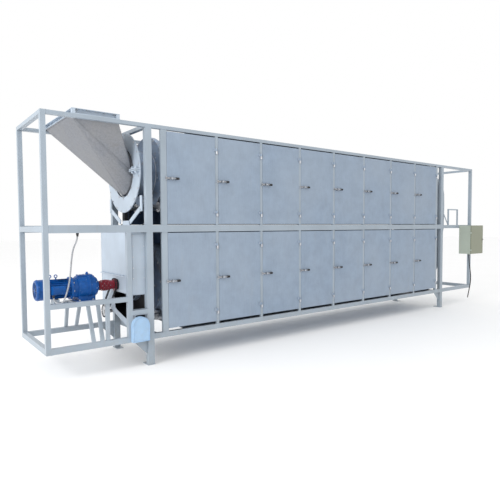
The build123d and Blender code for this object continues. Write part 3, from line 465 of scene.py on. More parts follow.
def floor_finish(name, rgb):
    """Pale smooth floor and backdrop with a barely seen mottle."""
    material, tree, shader, place = fresh_material(name)
    rgb = tuple(rgb)
    mottle = noise(tree, place, 0.8, 4.0)
    tone = blend_colours(tree, ramp(tree, mottle, 0.3, 0.7), scaled(rgb, 0.985), rgb)
    tree.links.new(tone, shader.inputs["Base Color"])
    shader.inputs["Roughness"].default_value = 0.75
    return material


def inner_box(node):
    """A node's box, drawn in by half a sheet's thickness."""
    low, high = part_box(node)
    inset = Vector((SHEET_HALF, SHEET_HALF, SHEET_HALF))
    return low + inset, high - inset


FINISHES = {}


def finish_for(key):
    """The shared material of each finish, made the first time it is asked for."""
    if key in FINISHES:
        return FINISHES[key]
    paint = bpy.context.scene.dryer_paint
    makers = {
        "frame_paint": lambda: sprayed_paint("frame_enamel", paint.frame_paint, 0.34, 0.07, 0.22),
        "door_paint": lambda: door_finish("door_satin", paint.door_paint),
        "hood_paint": lambda: sprayed_paint("hood_enamel", paint.hood_paint, 0.38, 0.10, 0.35),
        # Outlet enamel carries painted shade in its bluer colour.
        "outlet_paint": lambda: sprayed_paint("outlet_enamel_in_shade", paint.outlet_paint, 0.30, 0.10, 0.12, 0.3),
        "galvanised_sheet": lambda: zinc_sheet("chute_zinc", paint.bare_sheet),
        "motor_blue": lambda: motor_enamel("gearmotor_enamel", paint.motor_paint),
        "coupling_red": lambda: motor_enamel("coupling_enamel", paint.coupling_paint),
        "drum_steel": lambda: rolled_steel("drum_plate", paint.drum_steel),
        "shaft_steel": lambda: turned_steel("shaft_bright"),
        "black_iron": lambda: oiled_iron("bearing_iron"),
        "latch_chrome": lambda: plated_metal("latch_plate", 0.5, 0.16),
        "hardware_zinc": lambda: plated_metal("hinge_zinc", 0.78, 0.30),
        "box_paint": lambda: sprayed_paint("box_powder_coat", paint.box_paint, 0.42, 0.05, 0.16, 0.2),
        # Door coat is painted shade: the box's grey darkened for its front face.
        "box_door_paint": lambda: sprayed_paint("box_door_coat_in_shade", paint.box_door_paint,
                                                0.42, 0.05, 0.12, 0.2),
        "cable_black": lambda: soft_rubber("cable_jacket", (0.012, 0.012, 0.013)),
        "conduit_grey": lambda: corrugated_sleeve("conduit_sleeve"),
        # Inside faces of the cabinet panels get dark navy painted shade.
        "cabinet_sheet": lambda: darken_inside(door_finish("cabinet_sheet", paint.door_paint),
                                               *inner_box("cabinet_panels"), (0.045, 0.075, 0.14)),
        # Near-black painted shade inside the discharge hood.
        "hood_inner_shade_paint": lambda: darken_inside(sprayed_paint("hood_inner_shade_paint", paint.hood_paint, 0.38, 0.10, 0.35),
                                            HOOD_INSIDE[0], HOOD_INSIDE[1], (0.012, 0.012, 0.014)),
        # Hood paint darkened to 0.72 for the transfer hood: painted shade for the hood standing in shade.
        "transfer_hood_shaded_paint": lambda: sprayed_paint("transfer_enamel_in_shade", scaled(paint.hood_paint, 0.72),
                                                0.38, 0.10, 0.35),
        "rope_packing": lambda: soft_rubber("rope_packing", (0.030, 0.033, 0.045), 0.8),
        "grip_rubber": lambda: soft_rubber("grip_rubber", (0.014, 0.014, 0.016), 0.5),
        # Near-black finish for plates standing in for shade at the motor's fan cowl.
        "cowl_painted_shade": lambda: oiled_iron("cowl_shadow"),
    }
    FINISHES[key] = makers[key]()
    return FINISHES[key]


def dress_node(node, key):
    """Gives a CAD node its finish."""
    mesh = frame["nodes"][node].data
    mesh.materials.clear()
    mesh.materials.append(finish_for(key))


# ------------------------------------------------------------ shape helpers

def piece(name, bm, body, key, smooth=False):
    """Finished object from a bmesh, riding on a CAD body."""
    bmesh.ops.recalc_face_normals(bm, faces=bm.faces[:])
    mesh = bpy.data.meshes.new(name)
    bm.to_mesh(mesh)
    bm.free()
    if smooth:
        for polygon in mesh.polygons:
            polygon.use_smooth = True
    mesh.materials.append(finish_for(key))
    made = bpy.data.objects.new(name, mesh)
    bpy.context.scene.collection.objects.link(made)
    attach(made, body)
    return made


def round_edges(bm, edges, offset, segments):
    bmesh.ops.bevel(bm, geom=edges, offset=offset, segments=segments, affect="EDGES",
                    profile=0.5, material=-1)


def add_block(bm, low, high, rounding=0.0, segments=2):
    """Box between two corners, its edges rounded."""
    low, high = Vector(low), Vector(high)
    size = high - low
    place = Matrix.Translation((low + high) / 2) @ Matrix.Diagonal((*size, 1.0))
    made = bmesh.ops.create_cube(bm, size=1.0, matrix=place)
    if rounding > 0:
        edges = list({e for v in made["verts"] for e in v.link_edges})
        round_edges(bm, edges, rounding, segments)


def turn_to(axis):
    """Rotation that takes +Z to the axis."""
    return Vector((0, 0, 1)).rotation_difference(Vector(axis)).to_matrix().to_4x4()


def add_rod(bm, start, end, radius, segments=24, end_radius=None, rounding=0.0):
    """Capped round bar from start to end."""
    start, end = Vector(start), Vector(end)
    span = end - start
    place = Matrix.Translation((start + end) / 2) @ turn_to(span.normalized())
    tip = radius if end_radius is None else end_radius
    made = bmesh.ops.create_cone(bm, cap_ends=True, segments=segments, radius1=radius, radius2=tip,
                                 depth=span.length, matrix=place)
    if rounding > 0:
        rims = [e for e in {e for v in made["verts"] for e in v.link_edges}
                if any(len(f.verts) == segments for f in e.link_faces)]
        round_edges(bm, rims, rounding, 2)


def add_bolt(bm, place, axis, radius, height):
    """Hexagon head on a washer, standing on a face."""
    place, axis = Vector(place), Vector(axis).normalized()
    add_rod(bm, place, place + axis * (height * 0.28), radius * 1.45, 16)
    add_rod(bm, place + axis * (height * 0.28), place + axis * height, radius, 6, rounding=radius * 0.12)


def add_hoop(bm, centre, radius, wire, segments=96, sides=8):
    """Closed ring of round section round the X axis."""
    centre = Vector(centre)
    start = centre + Vector((0, 0, radius))
    place = Matrix.Translation(start) @ Matrix.Rotation(pi / 2, 4, "X")
    section = bmesh.ops.create_circle(bm, segments=sides, radius=wire, matrix=place)
    edges = list({e for v in section["verts"] for e in v.link_edges})
    bmesh.ops.spin(bm, geom=edges, cent=centre, axis=(1, 0, 0), angle=2 * pi, steps=segments,
                   use_merge=True)


def add_weld(bm, start, end, radius, step):
    """Row of overlapping ripples between two points."""
    start, end = Vector(start), Vector(end)
    count = max(2, int((end - start).length / step))
    for i in range(count + 1):
        spot = start.lerp(end, i / count)
        squeeze = Matrix.Translation(spot) @ Matrix.Scale(1.0 + 0.12 * (i % 2), 4)
        bmesh.ops.create_icosphere(bm, subdivisions=1, radius=radius, matrix=squeeze)


def circle_points(centre, radius, count, turn=0.0):
    """Points round the X axis."""
    centre = Vector(centre)
    angles = [turn + 2 * pi * i / count for i in range(count)]
    return [centre + Vector((0, radius * cos(angle), radius * sin(angle))) for angle in angles]


# ------------------------------------------------------------ frame

class DRYER_OT_frame(bpy.types.Operator):
    """Enamel on the tube frame and ripple welds where its tubes meet"""
    bl_idname = "dryer.frame"
    bl_label = "Frame and welds"

    def execute(self, context):
        for node in FRAME_NODES:
            dress_node(node, "frame_paint")
        sizes = context.scene.dryer_fittings
        bm = bmesh.new()
        low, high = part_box("end_posts")
        post = 0.05
        levels = ((2.65, 2.69), (1.505, 1.565), (0.29, 0.35))
        for x_in in (low.x + post, high.x - post):
            for y_in in (low.y, high.y - post):
                for z0, z1 in levels:
                    self.joint(bm, x_in, y_in, z0, z1, post, sizes)
        legs_low, legs_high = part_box("main_legs")
        rail_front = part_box("long_rails")[0].y
        for leg_x in (legs_low.x + 0.171, legs_high.x - 0.006):
            for side in (-1, 1):
                edge = leg_x if side > 0 else leg_x - 0.075
                for z in (1.495, 1.575, 0.29, 0.35):
                    add_weld(bm, (edge, rail_front + 0.001, z), (edge, rail_front + 0.046, z),
                             sizes.bead_radius, sizes.bead_step)
        piece("frame_welds", bm, ROOT, "frame_paint", smooth=True)
        return {"FINISHED"}

    def joint(self, bm, x, y, z0, z1, post, sizes):
        """Weld round one rail's end against a post, left open on top of the highest rail."""
        y0 = y + 0.002
        y1 = y + post - 0.002
        corners = [(x, y0, z0), (x, y1, z0), (x, y1, z1), (x, y0, z1)]
        for i in range(4):
            if i == 2 and z1 > 2.68:
                continue
            add_weld(bm, corners[i], corners[(i + 1) % 4], sizes.bead_radius, sizes.bead_step)


# ------------------------------------------------------------ cabinet

class DRYER_OT_doors(bpy.types.Operator):
    """Outer skins, hinge screws and paint of the cabinet doors and panels"""
    bl_idname = "dryer.doors"
    bl_label = "Doors and panels"

    def execute(self, context):
        dress_node("cabinet_panels", "cabinet_sheet")
        dress_node("door_hardware", "hardware_zinc")
        sizes = context.scene.dryer_fittings
        for name in DOOR_NAMES:
            node = "door_" + name
            dress_node(node, "door_paint")
            hinge = joint_place("door_hinge_" + name)
            low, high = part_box(node)
            left = low.x + sizes.skin_margin
            right = hinge.x - 0.0145 - sizes.skin_margin
            front = hinge.y + 0.010
            bm = bmesh.new()
            add_block(bm, (left, front - 0.0016, low.z + sizes.skin_margin),
                      (right, front + 0.004, high.z - sizes.skin_margin), sizes.skin_round, 3)
            piece("door_skin_" + name, bm, "door_body_" + name, "door_paint")
            self.screws(name, low, high, hinge)
        self.roof_seams()
        return {"FINISHED"}

    def screws(self, name, low, high, hinge):
        """Two screws in each moving hinge leaf and four round the latch's base."""
        bm = bmesh.new()
        face = hinge.y + 0.002
        for z in (low.z + HINGE_FROM_FOOT, high.z - HINGE_FROM_HEAD):
            for dz in (0.009, 0.025):
                x = hinge.x - 0.034
                add_rod(bm, (x, face + 0.0005, z + dz), (x, face - 0.0022, z + dz), 0.0038, 12, 0.0022)
        pivot = joint_place("latch_turn_" + name)
        for dx in (-0.016, 0.016):
            for dz in (-0.016, 0.016):
                spot = Vector((pivot.x + dx, hinge.y, pivot.z + dz))
                add_rod(bm, spot + Vector((0, 0.0005, 0)), spot - Vector((0, 0.0018, 0)),
                        0.0032, 10, 0.002)
        piece("door_screws_" + name, bm, "door_body_" + name, "hardware_zinc",
              smooth=True)

    def roof_seams(self):
        """Standing seams on the roof sheet and screw rows on the back panels."""
        low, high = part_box("cabinet_panels")
        bm = bmesh.new()
        for i in range(1, 8):
            x = low.x + (high.x - low.x) * i / 8
            add_block(bm, (x - 0.004, low.y + 0.02, high.z - 0.001),
                      (x + 0.004, high.y - 0.04, high.z + 0.012), 0.001)
        back = high.y
        for row in DOOR_ROWS:
            for i in range(4):
                start = low.x + (high.x - low.x) * i / 4
                width = (high.x - low.x) / 4
                for side in (0.016, width - 0.016):
                    for step in range(7):
                        z = row[0] + 0.04 + step * (row[1] - row[0] - 0.08) / 6
                        add_bolt(bm, (start + side, back, z), (0, 1, 0), 0.006, 0.004)
        piece("panel_seams_and_screws", bm, ROOT, "hardware_zinc")


class DRYER_OT_latches(bpy.types.Operator):
    """Plated levers with rubber sleeves"""
    bl_idname = "dryer.latches"
    bl_label = "Door latches"

    def execute(self, context):
        wall = context.scene.dryer_fittings.grip_wall
        for name in DOOR_NAMES:
            node = "latch_" + name
            dress_node(node, "latch_chrome")
            low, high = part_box(node)
            pivot = joint_place("latch_turn_" + name)
            bm = bmesh.new()
            middle = low.y + 0.012
            start = Vector((high.x - 0.046, middle, pivot.z))
            end = Vector((high.x + wall, middle, pivot.z))
            add_rod(bm, start, end, 0.012 + wall, 20, rounding=0.003)
            for i in range(4):
                x = start.x + 0.008 + i * 0.009
                add_rod(bm, (x, middle, pivot.z), (x + 0.003, middle, pivot.z), 0.012 + 2 * wall, 20)
            piece("latch_grip_" + name, bm, "latch_body_" + name, "grip_rubber")
            bm = bmesh.new()
            add_rod(bm, (pivot.x, low.y, pivot.z), (pivot.x, low.y - 0.0035, pivot.z), 0.008, 6,
                    rounding=0.001)
            piece("latch_cap_" + name, bm, "door_body_" + name, "hardware_zinc")
        return {"FINISHED"}


# ------------------------------------------------------------ drums

class DRYER_OT_drums(bpy.types.Operator):
    """Drum plate, end-plate bolts and weld seams"""
    bl_idname = "dryer.drums"
    bl_label = "Drums and rollers"

    def execute(self, context):
        sizes = context.scene.dryer_fittings
        for node, axis, neck, left in (("upper_drum", UPPER_AXIS, 0.274, UPPER_DRUM_END),
                                       ("lower_drum", LOWER_AXIS, 0.250, LOWER_DRUM_END)):
            dress_node(node, "drum_steel")
            bm = bmesh.new()
            ends = ((left, -1), (DRUM_RIGHT_END, 1))
            for x, direction in ends:
                for spot in circle_points((x, axis.y, axis.z), 0.435, 12):
                    add_bolt(bm, spot, (direction, 0, 0), sizes.bolt_radius, sizes.bolt_height)
                for spot in circle_points((x, axis.y, axis.z), neck + 0.045, 8, 0.2):
                    add_bolt(bm, spot, (direction, 0, 0), sizes.bolt_radius * 0.8, sizes.bolt_height)
                hoop_x = x + direction * 0.001
                add_hoop(bm, (hoop_x, axis.y, axis.z), neck + 0.002, 0.004)
            piece(node + "_end_bolts", bm, node + "_body", "hardware_zinc")
        for node in ("roller_upper_front", "roller_upper_back", "roller_lower_front", "roller_lower_back"):
            dress_node(node, "shaft_steel")
            pivot = joint_place(node + "_spin")
            bm = bmesh.new()
            left = UPPER_DRUM_END if "upper" in node else LOWER_DRUM_END
            for x in (left, DRUM_RIGHT_END - TYRE_WIDTH):
                for edge in (x + 0.004, x + 0.056):
                    add_hoop(bm, (edge, pivot.y, pivot.z), 0.0575, 0.0022, 48, 6)
                for spot in circle_points((x, pivot.y, pivot.z), 0.040, 6):
                    add_bolt(bm, spot, (-1, 0, 0), 0.005, 0.004)
            piece(node + "_rims", bm, node + "_body", "shaft_steel", smooth=True)
        return {"FINISHED"}


# ------------------------------------------------------------ feed end

class DRYER_OT_feed(bpy.types.Operator):
    """Feed chute, collar, seal ring and rope packing"""
    bl_idname = "dryer.feed"
    bl_label = "Feed end"

    def execute(self, context):
        sizes = context.scene.dryer_fittings
        dress_node("feed_chute", "galvanised_sheet")
        dress_node("feed_collar", "hood_paint")
        dress_node("seal_ring", "hood_paint")
        low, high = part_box("feed_chute")
        axis = UPPER_AXIS
        rim_z = high.z
        mouth_x = CHUTE_MOUTH
        radius = CHUTE_RADIUS
        bottom = Vector((mouth_x, axis.y, axis.z - radius))
        front = Vector((mouth_x, axis.y - radius, axis.z))
        top = Vector((mouth_x, axis.y, axis.z + radius))
        back = Vector((mouth_x, axis.y + radius, axis.z))
        right_x = low.x + CHUTE_WIDTH
        corners = {
            "front_left": Vector((low.x, low.y, rim_z)), "back_left": Vector((low.x, high.y, rim_z)),
            "front_right": Vector((right_x, low.y, rim_z)), "back_right": Vector((right_x, high.y, rim_z)),
        }
        folds = (("front_left", bottom), ("back_left", bottom), ("front_left", front),
                 ("front_right", front), ("front_right", top), ("back_right", top),
                 ("back_right", back), ("back_left", back))
        bm = bmesh.new()
        for corner, spot in folds:
            add_rod(bm, corners[corner], spot, 0.0022, 6)
        around = ("front_left", "back_left", "back_right", "front_right", "front_left")
        drop = Vector((0, 0, 0.004))
        for a, b in zip(around, around[1:]):
            add_rod(bm, corners[a] - drop, corners[b] - drop, 0.0045, 8)
        piece("chute_folds", bm, ROOT, "galvanised_sheet", smooth=True)
        self.rivets(corners, front)
        self.packing(axis)
        self.ring_bolts(axis, sizes)
        self.collar_bolts(sizes)
        return {"FINISHED"}

    def rivets(self, corners, front):
        """Row of rivets under the front of the rim."""
        bm = bmesh.new()
        left, right = corners["front_left"], corners["front_right"]
        down = front - left
        face_normal = (right - left).cross(down).normalized()
        if face_normal.y > 0:
            face_normal = -face_normal
        for i in range(1, 9):
            spot = left.lerp(right, i / 9) + down * 0.02
            add_rod(bm, spot, spot + face_normal * 0.003, 0.005, 10, 0.003)
        piece("chute_rivets", bm, ROOT, "hardware_zinc", smooth=True)

    def packing(self, axis):
        """Rope packing that fills the gap between the ring and the turning neck."""
        bm = bmesh.new()
        for x, radius in ((-3.0765, 0.2795), (-3.0675, 0.2795)):
            add_hoop(bm, (x, axis.y, axis.z), radius, 0.0048, 120, 8)
        piece("rope_packing", bm, ROOT, "rope_packing", smooth=True)

    def ring_bolts(self, axis, sizes):
        """Bolts round the seal ring, clear of its split."""
        bm = bmesh.new()
        face = RING_FACE
        for radius, count in ((0.448, 20), (0.302, 14)):
            for spot in circle_points((face, axis.y, axis.z), radius, count, pi / count):
                add_bolt(bm, spot, (-1, 0, 0), sizes.bolt_radius * 0.75, sizes.bolt_height)
        piece("seal_ring_bolts", bm, ROOT, "hardware_zinc")

    def collar_bolts(self, sizes):
        """Bolts down through the collar's upper flange."""
        low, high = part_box("feed_collar")
        bm = bmesh.new()
        for i in range(5):
            x = low.x + 0.06 + i * (high.x - low.x - 0.12) / 4
            for y in (low.y + 0.018, high.y - 0.018):
                place = (x, y, high.z - 0.0055)
                add_bolt(bm, place, (0, 0, -1), sizes.bolt_radius * 0.7, sizes.bolt_height)
        piece("collar_bolts", bm, ROOT, "hardware_zinc")


# ------------------------------------------------------------ discharge end

class DRYER_OT_discharge(bpy.types.Operator):
    """Discharge hood, trough and arched outlet"""
    bl_idname = "dryer.discharge"
    bl_label = "Discharge end"

    def execute(self, context):
        sizes = context.scene.dryer_fittings
        dress_node("discharge_hood", "hood_inner_shade_paint")
        dress_node("outlet_spout", "outlet_paint")
        wall_x = -3.190
        front_y = -HOOD_SIDE
        bm = bmesh.new()
        for y in (front_y, HOOD_SIDE):
            add_rod(bm, (wall_x, y, 0.80), (wall_x, y, 1.49), 0.003, 8)
        add_rod(bm, (wall_x, front_y, 1.49), (wall_x, HOOD_SIDE, 1.49), 0.003, 8)
        add_rod(bm, (wall_x, front_y, 0.80), (wall_x, HOOD_SIDE, 0.80), 0.0035, 8)
        add_weld(bm, (wall_x, front_y, 0.80), (-2.965, front_y, 0.80), sizes.bead_radius, sizes.bead_step)
        piece("hood_folds", bm, ROOT, "hood_paint", smooth=True)
        self.outlet_rim()
        self.hatch(sizes)
        return {"FINISHED"}

    def outlet_rim(self):
        """Rolled lip round the arch."""
        low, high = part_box("outlet_spout")
        radius = (high.x - low.x) / 2 - 0.003
        centre = Vector(((low.x + high.x) / 2, low.y, high.z - radius - 0.003))
        bm = bmesh.new()
        add_rod(bm, (low.x + 0.003, low.y, low.z + 0.003), (low.x + 0.003, low.y, centre.z), 0.003, 8)
        add_rod(bm, (high.x - 0.003, low.y, low.z + 0.003), (high.x - 0.003, low.y, centre.z), 0.003, 8)
        add_rod(bm, (low.x + 0.003, low.y, low.z + 0.003), (high.x - 0.003, low.y, low.z + 0.003), 0.003, 8)
        steps = 24
        for i in range(steps):
            a, b = pi * i / steps, pi * (i + 1) / steps
            first = centre + Vector((radius * cos(a), 0, radius * sin(a)))
            second = centre + Vector((radius * cos(b), 0, radius * sin(b)))
            add_rod(bm, first, second, 0.003, 8)
        piece("outlet_lip", bm, ROOT, "outlet_paint", smooth=True)

    def hatch(self, sizes):
        """Raised cleaning hatch on the hood's front, held by screws."""
        front = -HOOD_SIDE
        bm = bmesh.new()
        add_block(bm, (-3.184, front - 0.0045, 0.970), (-3.034, front + 0.001, 1.474), 0.0015, 2)
        piece("hood_hatch", bm, ROOT, "hood_paint")
        bm = bmesh.new()
        for x in (-3.176, -3.048):
            for z in (0.984, 1.100, 1.220, 1.340, 1.460):
                add_bolt(bm, (x, front - 0.0045, z), (0, -1, 0), sizes.bolt_radius * 0.5, 0.004)
        piece("hood_front_screws", bm, ROOT, "hardware_zinc")


# ------------------------------------------------------------ transfer end

class DRYER_OT_transfer(bpy.types.Operator):
    """Transfer hood with its bolted seam"""
    bl_idname = "dryer.transfer"
    bl_label = "Transfer end"

    def execute(self, context):
        sizes = context.scene.dryer_fittings
        dress_node("transfer_hood", "transfer_hood_shaded_paint")
        low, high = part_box("transfer_hood")
        bm = bmesh.new()
        for i in range(12):
            z = LOWER_AXIS.z + 0.02 + i * (UPPER_AXIS.z - LOWER_AXIS.z - 0.04) / 11
            for y, direction in ((low.y, -1), (high.y, 1)):
                place = (low.x + 0.018, y, z)
                add_bolt(bm, place, (0, direction, 0), sizes.bolt_radius * 0.8, sizes.bolt_height)
        for centre, start in ((UPPER_AXIS, 0.0), (LOWER_AXIS, pi)):
            for i in range(1, 10):
                a = start + pi * i / 10
                out = Vector((0, cos(a), sin(a)))
                spot = Vector((low.x + 0.018, centre.y, centre.z)) + out * 0.455
                add_bolt(bm, spot, out, sizes.bolt_radius * 0.8, sizes.bolt_height)
        piece("transfer_seam_bolts", bm, ROOT, "hardware_zinc")
        self.cap_bolts()
        return {"FINISHED"}

    def cap_bolts(self):
        bm = bmesh.new()
        for spot in circle_points((3.2305, -0.285, 2.0), 0.060, 8):
            add_bolt(bm, spot, (1, 0, 0), 0.006, 0.006)
        piece("transfer_cap_bolts", bm, ROOT, "hardware_zinc")


# ------------------------------------------------------------ drive

class DRYER_OT_drive(bpy.types.Operator):
    """Gearmotor, coupling and bearing details"""
    bl_idname = "dryer.drive"
    bl_label = "Drive"

    def execute(self, context):
        dress_node("gearmotor", "motor_blue")
        dress_node("coupling_shaft", "coupling_red")
        dress_node("roller_bearings", "black_iron")
        self.motor_details()
        self.coupling_details()
        self.bearing_details(context.scene.dryer_fittings)
        return {"FINISHED"}

    def motor_details(self):
        y, z = DRIVE_AXIS.y, DRIVE_AXIS.z
        bm = bmesh.new()
        for spot in circle_points((-3.7205, y, z), 0.116, 8, 0.2):
            add_bolt(bm, spot, (1, 0, 0), 0.008, 0.009)
        for spot in circle_points((-3.475, y, z), 0.114, 10, 0.1):
            add_bolt(bm, spot, (1, 0, 0), 0.006, 0.008)
        for spot in circle_points((-3.448, y, z), 0.084, 6):
            add_bolt(bm, spot, (1, 0, 0), 0.007, 0.008)
        for x in (-3.643, -3.573, -3.503):
            for dy in (-0.036, 0.036):
                add_bolt(bm, (x, y + dy, z + 0.140), (0, 0, 1), 0.005, 0.005)
        for x in (-3.660, -3.510):
            for dy in (-0.108, 0.108):
                add_bolt(bm, (x, y + dy, 0.746), (0, 0, 1), 0.010, 0.010)
        piece("gearmotor_bolts", bm, ROOT, "hardware_zinc")
        bm = bmesh.new()
        front = y - 0.160
        add_block(bm, (-3.950, front - 0.004, z - 0.040), (-3.825, front + 0.002, z + 0.040), 0.003, 2)
        for dx in (-3.943, -3.832):
            for dz in (-0.033, 0.033):
                add_rod(bm, (dx, front - 0.003, z + dz), (dx, front - 0.0065, z + dz), 0.004, 10)
        add_rod(bm, (-3.543, y, z + 0.142), (-3.543, y, z + 0.153), 0.019, 6, rounding=0.001)
        piece("terminal_box_lid", bm, ROOT, "motor_blue")
        bm = bmesh.new()
        # Thin near-black disc at the fan cowl's end and a strip on the motor's top: painted shade.
        add_block(bm, (-3.860, y - 0.050, z + 0.104), (-3.780, y - 0.040, z + 0.106), 0.0005)
        add_rod(bm, (-4.0945, y, z), (-4.0925, y, z), 0.0845, 48)
        piece("cowl_shade_plates", bm, ROOT, "cowl_painted_shade")
        bm = bmesh.new()
        for x in (-3.985, -3.755):
            for spot in circle_points((x, y, z), 0.1085, 4, pi / 4):
                add_rod(bm, spot, spot + Vector((0.012, 0, 0)), 0.006, 10)
        add_hoop(bm, (-4.002, y, z), 0.1125, 0.0022, 72, 6)
        add_hoop(bm, (-4.072, y, z), 0.1125, 0.0022, 72, 6)
        piece("cowl_rims", bm, ROOT, "motor_blue", smooth=True)

    def coupling_details(self):
        """Clamp bolts between the coupling's ribs, and hub rims."""
        y, z = DRIVE_AXIS.y, DRIVE_AXIS.z
        bm = bmesh.new()
        for i in range(5):
            for spot in circle_points((-3.391 + 0.024 * i, y, z), 0.052, 6, i * pi / 6):
                add_rod(bm, spot, spot + Vector((0.010, 0, 0)), 0.004, 8)
        piece("coupling_bolts", bm, "coupling_shaft_body", "hardware_zinc")
        bm = bmesh.new()
        for x in (-3.2302, -3.2178):
            add_rod(bm, (x, y, z), (x + (0.0008 if x > -3.22 else -0.0008), y, z), 0.050, 40)
        add_rod(bm, (-3.234, y, z), (-3.2302, y, z), 0.034, 32)
        piece("drive_wheel_faces", bm, "coupling_shaft_body", "black_iron")

    def bearing_details(self, sizes):
        """Foot bolts and grease nipples on the pillow blocks."""
        bm = bmesh.new()
        for joint, base in (("roller_upper_front", 1.591), ("roller_upper_back", 1.591),
                            ("roller_lower_front", 0.366), ("roller_lower_back", 0.366)):
            pivot = joint_place(joint + "_spin")
            for x in (-2.934, 2.761):
                for dy in (-0.065, 0.065):
                    place = (x, pivot.y + dy, base)
                    add_bolt(bm, place, (0, 0, 1), sizes.bolt_radius * 0.9, sizes.bolt_height)
                top = Vector((x, pivot.y, pivot.z + 0.0455))
                add_rod(bm, top, top + Vector((0, 0, 0.008)), 0.004, 8)
                add_rod(bm, top + Vector((0, 0, 0.008)), top + Vector((0, 0, 0.013)), 0.0028, 8, 0.0014)
        for spot in circle_points((-3.206, DRIVE_AXIS.y, DRIVE_AXIS.z), 0.050, 4, pi / 4):
            add_bolt(bm, spot, (-1, 0, 0), 0.006, 0.006)
        piece("bearing_bolts", bm, ROOT, "hardware_zinc")


class DRYER_OT_chains(bpy.types.Operator):
    """Roller chains round the drive wheels"""
    bl_idname = "dryer.chains"
    bl_label = "Roller chains"

    PITCH = 0.0254

    def execute(self, context):
        bm = bmesh.new()
        self.chain(bm, -3.224, DRIVE_AXIS, LOWER_BACK_SHAFT, 17)
        self.chain(bm, -2.892, LOWER_BACK_SHAFT, UPPER_BACK_SHAFT, 10)
        made = piece("roller_chain_links", bm, ROOT, "black_iron")
        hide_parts("drive_chains")
        return {"FINISHED"}

    def chain(self, bm, x, first, second, teeth):
        """Links of one chain laid round two equal wheels."""
        radius = self.PITCH / 2 / sin(pi / teeth)
        a = Vector((0, first.y, first.z))
        b = Vector((0, second.y, second.z))
        reach = (b - a).length
        heading = (b - a).normalized()
        side = Vector((0, -heading.z, heading.y))
        total = 2 * reach + 2 * pi * radius
        count = int(round(total / self.PITCH / 2)) * 2
        pins = [self.on_loop(a, heading, side, reach, radius, total * i / count) for i in range(count)]
        for i in range(count):
            start, end = pins[i], pins[(i + 1) % count]
            spread = 0.0062 if i % 2 else 0.0086
            for sign in (-1, 1):
                self.plate(bm, x + sign * spread, start, end)
            add_rod(bm, (x - 0.0098, start.y, start.z), (x + 0.0098, start.y, start.z), 0.0058, 8)

    def on_loop(self, a, heading, side, reach, radius, s):
        """Point at distance s along the loop."""
        if s < reach:
            return a + side * radius + heading * s
        s -= reach
        if s < pi * radius:
            angle = s / radius
            return a + heading * reach + side * (radius * cos(angle)) + heading * (radius * sin(angle))
        s -= pi * radius
        if s < reach:
            return a + heading * (reach - s) - side * radius
        angle = (s - reach) / radius
        return a - side * (radius * cos(angle)) - heading * (radius * sin(angle))

    def plate(self, bm, x, start, end):
        """Side plate of one link."""
        middle = (start + end) / 2
        along = end - start
        turn = Matrix.Rotation(atan2(along.z, along.y), 4, "X")
        size = Matrix.Diagonal((0.0022, along.length + 0.014, 0.0150, 1.0))
        place = Matrix.Translation((x, middle.y, middle.z)) @ turn @ size
        made = bmesh.ops.create_cube(bm, size=1.0, matrix=place)
        edges = [e for e in {e for v in made["verts"] for e in v.link_edges}
                 if abs((e.verts[0].co - e.verts[1].co).normalized().x) > 0.9]
        round_edges(bm, edges, 0.004, 1)


# ------------------------------------------------------------ control box

class DRYER_OT_control_box(bpy.types.Operator):
    """Control box, its door seal, door panel, lock and supply gland nut"""
    bl_idname = "dryer.control_box"
    bl_label = "Control box"

    def execute(self, context):
        dress_node("control_box", "box_paint")
        dress_node("control_box_door", "box_door_paint")
        low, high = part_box("control_box")
        left = low.x + 0.008
        right = high.x
        top = high.z
        bottom = low.z + 0.022
        front = -0.753
        bm = bmesh.new()
        for z0, z1 in ((top - 0.010, top - 0.004), (bottom + 0.004, bottom + 0.010)):
            add_block(bm, (left + 0.006, front - 0.001, z0), (right - 0.006, front + 0.004, z1), 0.001)
        for x0, x1 in ((left + 0.004, left + 0.010), (right - 0.010, right - 0.004)):
            add_block(bm, (x0, front - 0.001, bottom + 0.006), (x1, front + 0.004, top - 0.006), 0.001)
        piece("box_door_seal", bm, ROOT, "rope_packing")
        bm = bmesh.new()
        face = -0.769
        add_block(bm, (left + 0.012, face - 0.0012, bottom + 0.012),
                  (right - 0.010, face + 0.002, top - 0.012), 0.001)
        piece("box_door_panel", bm, "control_box_door_body", "box_door_paint")
        bm = bmesh.new()
        lock = Vector((right - 0.028, face, (top + bottom) / 2))
        add_rod(bm, lock - Vector((0, 0.010, 0)), lock - Vector((0, 0.0135, 0)), 0.0155, 28, rounding=0.001)
        add_block(bm, lock + Vector((-0.0035, -0.0225, -0.0115)),
                  lock + Vector((0.0035, -0.013, 0.0115)), 0.001)
        piece("box_lock", bm, "control_box_door_body", "latch_chrome")
        bm = bmesh.new()
        gland = Vector((3.810, -0.637, bottom))
        add_rod(bm, gland - Vector((0, 0, 0.0005)), gland - Vector((0, 0, 0.009)), 0.019, 6, rounding=0.001)
        add_rod(bm, gland - Vector((0, 0, 0.009)), gland - Vector((0, 0, 0.034)), 0.0150, 24, 0.0102)
        piece("supply_gland_nut", bm, ROOT, "cable_black")
        return {"FINISHED"}


# ------------------------------------------------------------ cables

SUPPLY_ROUTE = [
    (3.810, -0.637, 0.978),
    (3.818, -0.639, 0.830),
    (3.855, -0.643, 0.680),
    (3.883, -0.645, 0.530),
    (3.868, -0.643, 0.385),
    (3.824, -0.639, 0.250),
    (3.785, -0.635, 0.125),
]

CONDUIT_ROUTE = [
    (-3.784, -0.498, 1.495),
    (-3.784, -0.498, 1.430),
    (-3.807, -0.420, 1.335),
    (-3.811, -0.369, 1.215),
    (-3.811, -0.333, 1.095),
    (-3.818, -0.311, 0.985),
    (-3.832, -0.277, 0.880),
    (-3.850, -0.227, 0.785),
    (-3.875, -0.203, 0.745),
    (-3.912, -0.168, 0.745),
    (-3.938, -0.145, 0.785),
    (-3.938, -0.145, 0.838),
]


